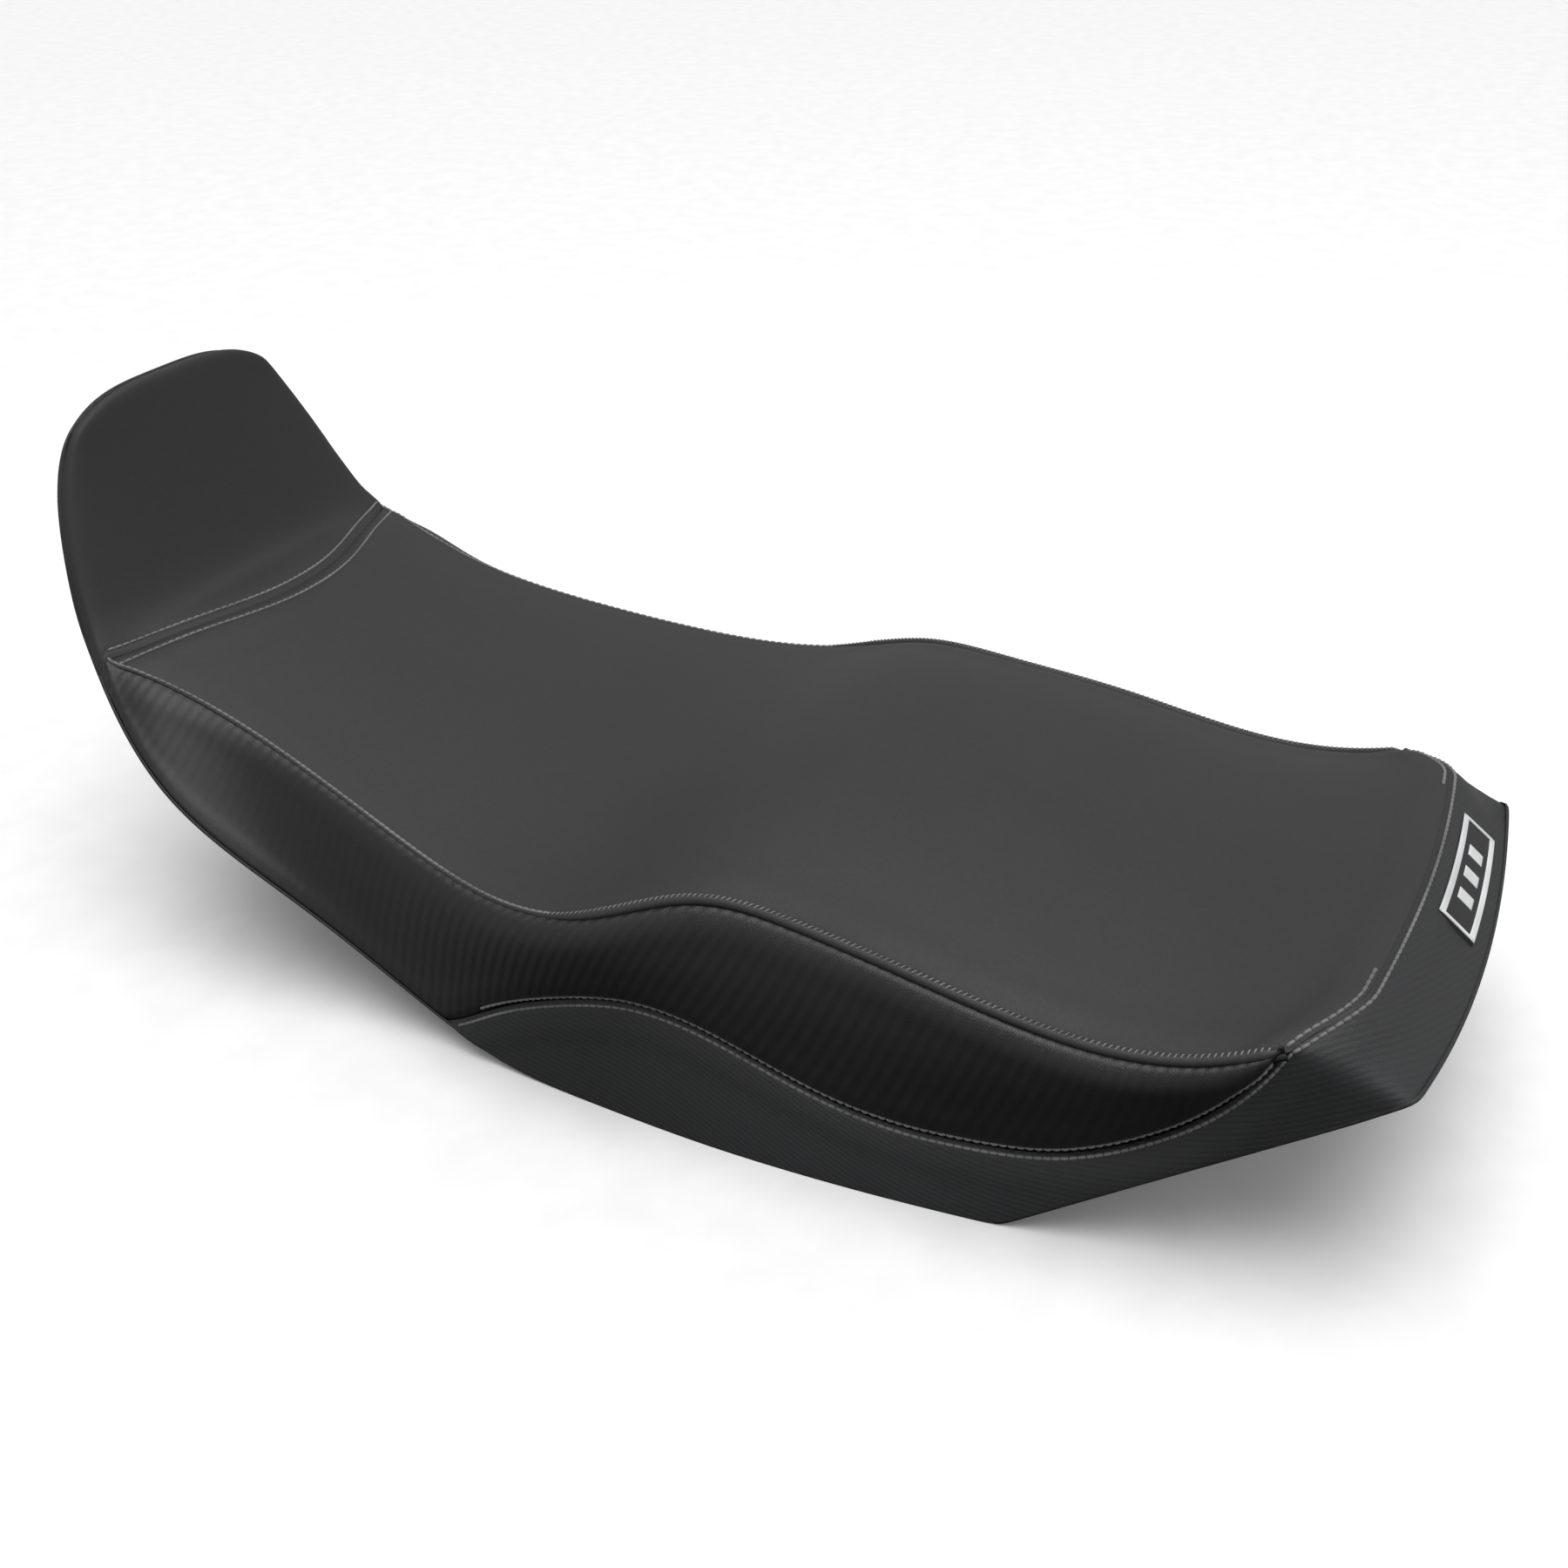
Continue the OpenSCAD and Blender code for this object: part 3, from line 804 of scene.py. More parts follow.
def new_material(name: str) -> tuple[bpy.types.Material, bpy.types.NodeTree, bpy.types.Node]:
    """Starts an empty node material.

    Args:
        name: the material's name.

    Returns:
        The material, its tree and its output node.
    """
    material = bpy.data.materials.new(name)
    material.use_nodes = True
    tree = material.node_tree
    tree.nodes.clear()
    return material, tree, tree.nodes.new("ShaderNodeOutputMaterial")


@dataclass(frozen=True)
class EmbossedVinyl:
    """Calendered PVC vinyl on a knitted back, embossed with a leather grain and, on some panels, fine ribs."""

    name: str
    deep: str
    face: str
    roughness: float
    grain_mm: float = 0.9
    grain_depth_mm: float = 0.05
    rib_pitch_mm: float = 0.0
    rib_depth_mm: float = 0.0
    rib_angle: float = 0.0
    rib_groove_shade: float = 0.2
    sheen: float = 0.0

    def make(self) -> bpy.types.Material:
        """Builds the material.

        Returns:
            The material, with a soft, uneven gloss: vinyl is smooth between the embossed pores.
        """
        material, tree, out = new_material(self.name)
        place = tree.nodes.new("ShaderNodeTexCoord")
        pores = node(tree, "TexVoronoi", {"Scale": 1 / (self.grain_mm * MM), "feature": "DISTANCE_TO_EDGE"},
                     {"Vector": place.outputs["Object"]})
        crease = node(tree, "MapRange", {"From Min": 0.0, "From Max": 0.16, "To Min": 0.0, "To Max": 1.0},
                      {"Value": pores.outputs["Distance"]})
        clouds = node(tree, "TexNoise", {"Scale": 14.0, "Detail": 4.0, "Roughness": 0.6},
                      {"Vector": place.outputs["Object"]})
        fine = node(tree, "TexNoise", {"Scale": 420.0, "Detail": 2.0}, {"Vector": place.outputs["Object"]})
        tone = node(tree, "Mix", {"data_type": "FLOAT", "Factor": 0.35},
                    {"2": clouds.outputs["Fac"], "3": fine.outputs["Fac"]})
        colour = ramp(node(tree, "ValToRGB", {}, {"Fac": tone.outputs["Result"]}),
                      ((0.30, self.deep), (0.68, self.face)))
        gloss = node(tree, "MapRange", {"From Min": 0.25, "From Max": 0.75, "To Min": self.roughness - 0.06,
                     "To Max": self.roughness + 0.08}, {"Value": clouds.outputs["Fac"]})
        bump = node(tree, "Bump", {"Strength": 1.0, "Distance": self.grain_depth_mm * MM},
                    {"Height": crease.outputs["Result"]})
        if self.rib_pitch_mm:
            colour, bump = self.ribs(tree, place, colour, bump)
        skin = node(tree, "BsdfPrincipled", {"IOR": 1.5, "Sheen Weight": self.sheen, "Sheen Roughness": 0.5},
                    {"Base Color": colour, "Roughness": gloss.outputs["Result"], "Normal": bump.outputs["Normal"]})
        tree.links.new(skin.outputs["BSDF"], out.inputs["Surface"])
        return material

    def ribs(self, tree: bpy.types.NodeTree, place: bpy.types.Node, colour: bpy.types.NodeSocket,
             bump: bpy.types.Node) -> tuple[bpy.types.NodeSocket, bpy.types.Node]:
        """Adds slanted ribs, laid along the cloth as it was cut.

        Args:
            tree: the material's tree.
            place: its texture coordinates.
            colour: the colour so far.
            bump: the grain's bump.

        Returns:
            The colour, with painted shade in the grooves between the ribs so that their tops look lit, and the bump of
            ribs and grain.
        """
        turned = node(tree, "Mapping", {"Rotation": (0.0, 0.0, math.radians(self.rib_angle))},
                      {"Vector": place.outputs["UV"]})
        # A wave repeats every 2 pi / 20 units of its scale, so this makes one rib for each pitch.
        wave = node(tree, "TexWave", {"Scale": 2 * math.pi / 20 / (self.rib_pitch_mm * MM), "Distortion": 0.35,
                    "Detail": 1.0, "Detail Scale": 1.5, "bands_direction": "Y"}, {"Vector": turned.outputs["Vector"]})
        # Painted shade: the colour is darkened in the grooves between the ribs, standing in for the shade that lies
        # there.
        painted_rib_shade = node(tree, "Mix", {"data_type": "RGBA", "blend_type": "MULTIPLY", "Factor": self.rib_groove_shade},
                     {"6": colour, "7": ramp(node(tree, "ValToRGB", {}, {"Fac": wave.outputs["Fac"]}),
                                             ((0.15, "#7a7a7a"), (0.85, "#ffffff")))})
        ribbed = node(tree, "Bump", {"Strength": 1.0, "Distance": self.rib_depth_mm * MM},
                      {"Height": wave.outputs["Fac"], "Normal": bump.outputs["Normal"]})
        return painted_rib_shade.outputs[2], ribbed


@dataclass(frozen=True)
class PlainFinish:
    """A moulded, plated, painted or spun surface with a fine uneven texture."""

    name: str
    deep: str
    face: str
    roughness: float
    metallic: float = 0.0
    texture_mm: float = 1.2
    texture_depth_mm: float = 0.03
    stretch: tuple = (1.0, 1.0, 1.0)
    sheen: float = 0.0

    def make(self) -> bpy.types.Material:
        """Builds the material and gives it."""
        material, tree, out = new_material(self.name)
        place = tree.nodes.new("ShaderNodeTexCoord")
        drawn = node(tree, "Mapping", {"Scale": self.stretch}, {"Vector": place.outputs["Object"]})
        grain = node(tree, "TexNoise", {"Scale": 1 / (self.texture_mm * MM), "Detail": 3.0},
                     {"Vector": drawn.outputs["Vector"]})
        clouds = node(tree, "TexNoise", {"Scale": 35.0, "Detail": 3.0}, {"Vector": place.outputs["Object"]})
        colour = ramp(node(tree, "ValToRGB", {}, {"Fac": clouds.outputs["Fac"]}),
                      ((0.35, self.deep), (0.65, self.face)))
        gloss = node(tree, "MapRange", {"From Min": 0.3, "From Max": 0.7, "To Min": self.roughness * 0.85,
                     "To Max": self.roughness * 1.12}, {"Value": clouds.outputs["Fac"]})
        bump = node(tree, "Bump", {"Strength": 0.8, "Distance": self.texture_depth_mm * MM},
                    {"Height": grain.outputs["Fac"]})
        skin = node(tree, "BsdfPrincipled", {"Metallic": self.metallic, "Sheen Weight": self.sheen},
                    {"Base Color": colour, "Roughness": gloss.outputs["Result"], "Normal": bump.outputs["Normal"]})
        tree.links.new(skin.outputs["BSDF"], out.inputs["Surface"])
        return material


# Matt black vinyl of the sitting area: dark grey in soft light, with a dull, broad highlight.
TOP_VINYL = EmbossedVinyl("matt_black_grained_vinyl_top", "#222223", "#2a2a2b", 0.62, grain_mm=0.9)
# The nose is cut from a smoother roll of the same vinyl; its colour is painted a shade darker than the top's, as
# painted shade on the nose's forward slope.
NOSE_VINYL = EmbossedVinyl("matt_black_smooth_vinyl_nose", "#202021", "#272728", 0.6, grain_mm=0.7)
# Ribs 5.5 mm apart catch the light as slanted stripes where the side turns up, and their grooves are painted a shade
# darker. They are drawn slightly coarser than real so that they show.
RIBBED_VINYL = EmbossedVinyl("black_rib_embossed_vinyl_side", "#161616", "#1d1d1e", 0.42, rib_pitch_mm=5.5,
                             rib_depth_mm=0.18, rib_angle=-55.0, rib_groove_shade=0.17)
# Finer ribs on the band, with their grooves painted a shade darker, give it a faint woven look.
BAND_VINYL = EmbossedVinyl("black_fine_ribbed_vinyl_band", "#1c1d1f", "#232426", 0.52, rib_pitch_mm=2.8,
                           rib_depth_mm=0.07, rib_angle=20.0, rib_groove_shade=0.2)
# Thin vinyl pulled tight round a cord: the roll shows as one soft line of light.
WELT_VINYL = EmbossedVinyl("black_vinyl_covered_welt", "#232324", "#303031", 0.5, grain_mm=0.6)
# Bonded polyester thread: mid grey, slightly silky.
THREAD = PlainFinish("grey_bonded_polyester_thread", "#585858", "#727272", 0.55, texture_mm=0.4,
                     texture_depth_mm=0.08, sheen=0.2)
# Moulded polypropylene with a spark-eroded texture: black, dull and a little uneven.
PAN_PLASTIC = PlainFinish("black_moulded_polypropylene", "#131313", "#1b1b1c", 0.55, texture_mm=1.0,
                          texture_depth_mm=0.06)
# Cut and moulded foam: pale yellow, open cells.
FOAM = PlainFinish("moulded_polyurethane_foam", "#b9ab7c", "#cfc398", 0.9, texture_mm=1.5, texture_depth_mm=0.3)
# Moulded rubber: very black and dull, slightly clouded.
RUBBER = PlainFinish("black_moulded_nitrile_rubber", "#101010", "#181818", 0.7, texture_mm=0.8, texture_depth_mm=0.04)
# Baked powder: a satin black skin with a slight orange peel.
POWDER_COAT = PlainFinish("black_powder_coated_steel", "#121213", "#1c1c1d", 0.42, texture_mm=0.7,
                          texture_depth_mm=0.05)
# Electroplated zinc: a cool, pale metal with a cloudy shine.
ZINC = PlainFinish("bright_zinc_plated_steel", "#a9abad", "#c6c8ca", 0.32, metallic=1.0, texture_mm=0.5,
                   texture_depth_mm=0.01)
# Turned brass: a warm yellow metal with a fine, drawn-out grain.
BRASS = PlainFinish("turned_brass", "#b08d4a", "#cda95f", 0.3, metallic=1.0, texture_mm=0.4, texture_depth_mm=0.01,
                    stretch=(1.0, 1.0, 6.0))
# Woven label: a dry, flat black, with a fine noise in place of its weave.
LABEL_WEAVE = PlainFinish("black_woven_polyester_label", "#131314", "#1d1d1f", 0.6, texture_mm=0.5,
                          texture_depth_mm=0.08)
# Moulded-on rubber print: a clean off-white that stands above the weave.
LABEL_PRINT = PlainFinish("white_raised_rubber_print", "#c9cacb", "#dfe0e1", 0.5, texture_mm=0.6, texture_depth_mm=0.02)


def dress(thing: bpy.types.Object, material: bpy.types.Material) -> None:
    """Gives an object one material in place of any it has."""
    thing.data.materials.clear()
    thing.data.materials.append(material)


def settle(thing: bpy.types.Object, slot: str, nodes: Sequence[str]) -> None:
    """Fixes a piece to the seat, names the nodes it stands for and logs it.

    Args:
        thing: the piece.
        slot: not used.
        nodes: the CAD nodes that it replaces.
    """
    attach(thing, "root")
    if nodes:
        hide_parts(*nodes)
    LOG.info("%s: %d faces, stands for %s", thing.name, len(thing.data.polygons), ", ".join(nodes) or "nothing")


# ---------------------------------------------------------------------------------------------
# The seat
# ---------------------------------------------------------------------------------------------


@dataclass
class Cover:
    """The five sewn panels, their welts and their topstitching."""

    shape: SeatShape
    materials: dict[str, bpy.types.Material]
    nose_row: float = 6.2
    lower_row: float = 3.0
    rear_row: float = 3.6
    edge_row: float = 1.6
    nose_round: float = 7.0
    welt_radius: float = 2.4
    welt_start: float = 6.1
    # The overlocked stitches over a welt: millimetres between them, and the degrees of its round that they cover.
    welt_stitch_pitch: float = 2.6
    welt_stitch_arc: tuple = (5, 74)

    def top_panel(self) -> Panel:
        """The sitting area, from the rear seam to the nose seam."""
        rows, cols = graded(0, self.shape.nose_seam, 210)[:, None], graded(-1, 1, 110, 0.82)[None]
        welted = self.welted(rows)
        side = Seam(valley=0.3 + 0.9 * welted, reach=2.5, row=0, tuck=0, puff=0.3 + 0.5 * welted)
        start = self.shape.rear_start(cols) * np.maximum(0, 1 - rows / 2.5) ** 2
        return Panel(self.shape.top(self.shape.bent(rows + start, cols), cols), {
            Edge.FIRST_ROW: Seam(row=self.rear_row), Edge.LAST_ROW: Seam(valley=1.0, row=self.nose_row, puff=0.7),
            Edge.FIRST_COL: side, Edge.LAST_COL: side})

    def welted(self, u: Points) -> Points:
        """How far the side seam has its welt at a station: 1 behind the bump, and 0 ahead of it."""
        return 1 / (1 + np.exp((u - self.welt_start) / 0.18))

    def nose_panel(self) -> Panel:
        """The nose, from its seam round the rim to the pan's edge."""
        shape = self.shape
        rows = np.linspace(shape.nose_seam, shape.last, 90)[:, None]
        cols = np.linspace(-1, 1, 121)[None]
        left = shape.side(rows, np.linspace(0, 1, 15)[None, 1:])
        grid = np.concatenate([left[:, ::-1] * np.array([1, -1, 1]), shape.top(shape.bent(rows, cols), cols), left], 1)
        v = np.clip(np.concatenate([-np.ones(14), cols[0], np.ones(14)]), -1, 1)
        foot, k = shape.front_foot(v)[None], np.linspace(0, 1, 9)[1:, None, None]
        fold = grid[-1] + (foot - grid[-1]) * k + np.sin(math.pi * k) * np.array([1.5, 0, 0])
        grid = np.concatenate([grid, fold], 0)
        away = edge_distance(grid, Edge.FIRST_ROW)[:, [len(v) // 2]][..., None]
        plain, round_ = softened(grid, 1, 150, 0.2), softened(grid, 1, 150, self.nose_round)
        grid = plain + (round_ - plain) * np.clip(away / 45, 0, 1)
        return Panel(softened(grid, 0, 110, 4.0), {Edge.FIRST_ROW: Seam(valley=1.0, row=self.nose_row, puff=0.5)})

    def side_panel(self, hand: Hand) -> Panel:
        """One ribbed side, from the welt to the lower seam.

        Args:
            hand: the side; the right one is the left one's mirror image.

        Returns:
            The panel.
        """
        shape = self.shape
        rows = graded(shape.corner_cut + 0.01, shape.nose_seam, 190)[:, None]
        down = graded(0, 1, 44, 0.6)[None]
        grid = shape.side(rows, down * shape.seam_share(rows))
        welted = self.welted(rows)
        seams = {Edge.FIRST_COL: Seam(valley=0.7 + 1.7 * welted, reach=3.0, row=0, tuck=0, puff=0.5 + 0.7 * welted),
                 Edge.LAST_COL: Seam(valley=1.6, reach=2.0, row=self.lower_row, tuck=0.4, puff=0.6),
                 Edge.LAST_ROW: Seam(valley=0.4, row=0, tuck=0, puff=0)}
        if hand is Hand.RIGHT:
            grid = grid[:, ::-1] * np.array([1, -1, 1])
            seams[Edge.FIRST_COL], seams[Edge.LAST_COL] = seams[Edge.LAST_COL], seams[Edge.FIRST_COL]
        return Panel(grid, seams)

    def band_panel(self) -> Panel:
        """The strip along both lower sides and round the tail."""
        shape = self.shape
        down = graded(0, 1, 34, 0.6)[None]
        upper = shape.seam_end + (shape.corner_cut - shape.seam_end) * graded(0.0, 1, 150, 0.5)[:, None]
        lower = shape.seam_end * (upper - shape.corner_cut) / (shape.seam_end - shape.corner_cut)
        share = shape.seam_share(upper)
        left = shape.side(upper + (lower - upper) * down, share + (1 - share) * down)
        turn = graded(1, -1, 120, 0.7)[1:-1, None]
        seam = shape.top(shape.rear_start(turn), turn)
        foot = shape.rear(turn, 1.0)
        rear = seam + (foot - seam) * down[..., None]
        grid = np.concatenate([left, rear, left[::-1] * np.array([1, -1, 1])], 0)[:, ::-1]
        plain, round_ = softened(grid, 0, 430, 1.2), softened(grid, 0, 430, 5.0)
        grid = plain + (round_ - plain) * np.clip(edge_distance(plain, Edge.LAST_COL) / 14, 0, 1)[..., None]
        return Panel(grid, {Edge.LAST_COL: Seam(valley=1.4, reach=1.8, row=self.lower_row, tuck=0.4, puff=0.8)})

    def welt(self, hand: Hand) -> tuple[tuple[Points, Points], Points, Points, Points]:
        """The rolled edge along one side seam, from the tail to the bump, where it runs out.

        Args:
            hand: the side.

        Returns:
            The tube, and its route, its outward directions and its radii.
        """
        first = self.shape.corner_cut + 0.02
        u = np.linspace(first, self.welt_start + 0.6, 300)
        flip = np.array([1, hand.value, 1])
        out = unit(np.stack([0 * u, 0.75 + 0 * u, 0.66 + 0 * u], 1)) * flip
        ends = np.clip((self.welt_start + 0.6 - u) / 0.9, 0.05, 1) * np.clip((u - first) / 0.15, 0.2, 1)
        radii = self.welt_radius * np.sqrt(ends)
        route = self.shape.shoulder(u) * flip - out * (self.welt_radius - 0.9 * radii + 0.3)[:, None]
        return tube_parts(route, out, radii, 16), route, out, radii

    def welt_stitches(self, route: Points, out: Points, radii: Points, hand: Hand) -> tuple[Points, Points]:
        """Short stitches over the rear part of a welt, as an overlocked edge has.

        Args:
            route: the welt's centre line.
            out: its outward directions.
            radii: its radii.
            hand: the side.

        Returns:
            The vertices and quads.
        """
        line = resample(np.hstack([route, out, radii[:, None]]), self.welt_stitch_pitch)
        line = line[line[:, 6] > 0.6 * self.welt_radius]
        along = unit(np.gradient(line[:, :3], axis=0))
        parts = []
        angles = np.radians(np.linspace(*self.welt_stitch_arc, 6))
        for spot, heading in zip(line, along):
            outward = spot[3:6]
            inward = unit(np.cross(heading, outward)) * hand.value
            arc = np.cos(angles)[:, None] * inward + np.sin(angles)[:, None] * outward
            lean = heading * np.linspace(-0.6, 0.6, 6)[:, None]
            points = spot[:3] + arc * (spot[6] + 0.12) + lean
            parts.append(tube_parts(points, arc, np.array([0.2, 0.36, 0.4, 0.4, 0.36, 0.2]), 6))
        return join_parts(parts)

    def build(self) -> None:
        """Makes every panel, welt and row of stitches."""
        make = self.materials
        top, nose, band = self.top_panel(), self.nose_panel(), self.band_panel()
        for name, panel, finish, slot, node_name in (
            ("sitting_panel", top, "top", "top_vinyl", "top_cover"),
            ("nose_panel", nose, "nose", "nose_vinyl", "nose_cover"),
            ("lower_and_rear_band", band, "band", "band_vinyl", "rear_band_cover"),
        ):
            thing = make_panel(name, panel)
            dress(thing, make[finish])
            settle(thing, slot, [node_name])
        sides = {hand: self.side_panel(hand) for hand in Hand}
        for hand, panel in sides.items():
            word = hand.name.lower()
            thing = make_panel(f"{word}_ribbed_panel", panel)
            dress(thing, make["ribbed"])
            settle(thing, "ribbed_vinyl", [f"{word}_side_cover"])
        self.sew(top, nose, band, sides)
        thing = make_shell("hem_under_pan_edge", *self.hem())
        dress(thing, make["band"])
        settle(thing, "band_vinyl", ["rear_band_cover"])

    def hem(self) -> tuple[Points, Points]:
        """The cover's edge, wrapped round the pan's edge and up its inner face.

        Returns:
            The outer and inner grids, once round the pan.
        """
        shape, step = self.shape, 0.02
        flank, half = np.linspace(0, shape.last, 230), np.linspace(0, 1, 40)[:-1]
        u = np.concatenate([0 * half, flank, np.full(77, float(shape.last)), flank[::-1], 0 * half])
        v = np.concatenate([half, np.ones(230), np.linspace(1, -1, 79)[1:-1], -np.ones(230), -half[::-1]])
        edge = shape.pan(u, v)
        lengthwise = shape.pan(np.minimum(u + step, shape.last), v) - shape.pan(np.maximum(u - step, 0), v)
        sideways = shape.pan(u, np.minimum(v + step, 1)) - shape.pan(u, np.maximum(v - step, -1))
        normal = unit(np.cross(lengthwise, sideways))
        inward = unit(np.cross(unit(np.gradient(edge, axis=0)), normal))
        cover = shape.skirt(u) * np.stack([1 + 0 * v, np.sign(v), 1 + 0 * v], 1)
        cover[u == shape.last] = shape.front_foot(v[u == shape.last])
        cover[u == 0] = shape.rear(v[u == 0], 1.0)
        inner = edge - (shape.pan_wall + 0.55) * normal
        middle = (cover + inner) / 2 - 1.3 * inward
        strips = [cover + 1.2 * unit(edge - cover), cover, middle, inner, inner + 3 * inward, inner + 9 * inward,
                  inner + 14 * inward]
        grid = softened(softened(np.stack(strips, 1), 1, 26, 0.8), 0, 700, 4.0)
        grid[..., 2] = np.maximum(grid[..., 2], 0.6)
        return grid + 0.5 * grid_normals(grid), grid

    def sew(self, top: Panel, nose: Panel, band: Panel, sides: dict[Hand, Panel]) -> None:
        """Makes the welts and the stitches.

        Args:
            top: the sitting panel.
            nose: the nose panel.
            band: the lower and rear band.
            sides: the side panels by hand.
        """
        thread = Thread()
        ahead = nose.row_beside(Edge.FIRST_ROW, self.nose_row)
        above = ahead[0][:, 2] > self.shape.shoulder(self.shape.nose_seam)[2] + 1.0
        nose_lines = [top.row_beside(Edge.LAST_ROW, self.nose_row), tuple(part[above] for part in ahead)]
        thing = make_object("nose_seam_stitches", *thread.stitches(nose_lines))
        dress(thing, self.materials["thread"])
        settle(thing, "thread", ["nose_stitching"])
        points, normals = band.row_beside(Edge.LAST_COL, self.lower_row)
        rear = points[:, 0] < self.shape.shoulder(self.shape.corner_cut)[0]
        first, last = np.flatnonzero(rear)[[0, -1]]
        flanks = {Hand.LEFT: slice(3, first + 1), Hand.RIGHT: slice(last, len(points) - 3)}
        back_line = (points[first : last + 1], normals[first : last + 1])
        top_row = top.row_beside(Edge.FIRST_ROW, self.rear_row)
        ends = [tuple(part[chosen] for part in top_row) for chosen in (slice(3, 30), slice(-30, -3))]
        rear_lines = [back_line, *ends]
        thing = make_object("rear_seam_stitches", *thread.stitches(rear_lines))
        dress(thing, self.materials["thread"])
        settle(thing, "thread", ["rear_stitching"])
        for hand, panel in sides.items():
            word = hand.name.lower()
            tube, route, out, radii = self.welt(hand)
            thing = make_object(f"{word}_rolled_welt", *tube)
            dress(thing, self.materials["welt"])
            settle(thing, "welt_vinyl", [f"{word}_welt"])
            edge = Edge.LAST_COL if hand is Hand.LEFT else Edge.FIRST_COL
            tall = np.flatnonzero(edge_distance(panel.grid, edge).max(1) > 3 * self.lower_row)[0]
            upper = [part[tall:120] for part in panel.row_beside(edge, self.lower_row)]
            flank = (points[flanks[hand]], normals[flanks[hand]])
            top_edge = top.row_beside(edge, self.edge_row)
            front = np.flatnonzero(self.welted(graded(0, self.shape.nose_seam, len(top.grid))) < 0.3)
            tip = ahead[0][above][-1 if hand is Hand.LEFT else 0], ahead[1][above][-1 if hand is Hand.LEFT else 0]
            join = tuple(np.vstack([part[front], end]) for part, end in zip(top_edge, tip))
            rows = thread.stitches([flank, tuple(upper), join])
            short = self.welt_stitches(route, out, radii, hand)
            thing = make_object(f"{word}_side_stitches", *join_parts([rows, short]))
            dress(thing, self.materials["thread"])
            settle(thing, "thread", [f"{word}_stitching"])


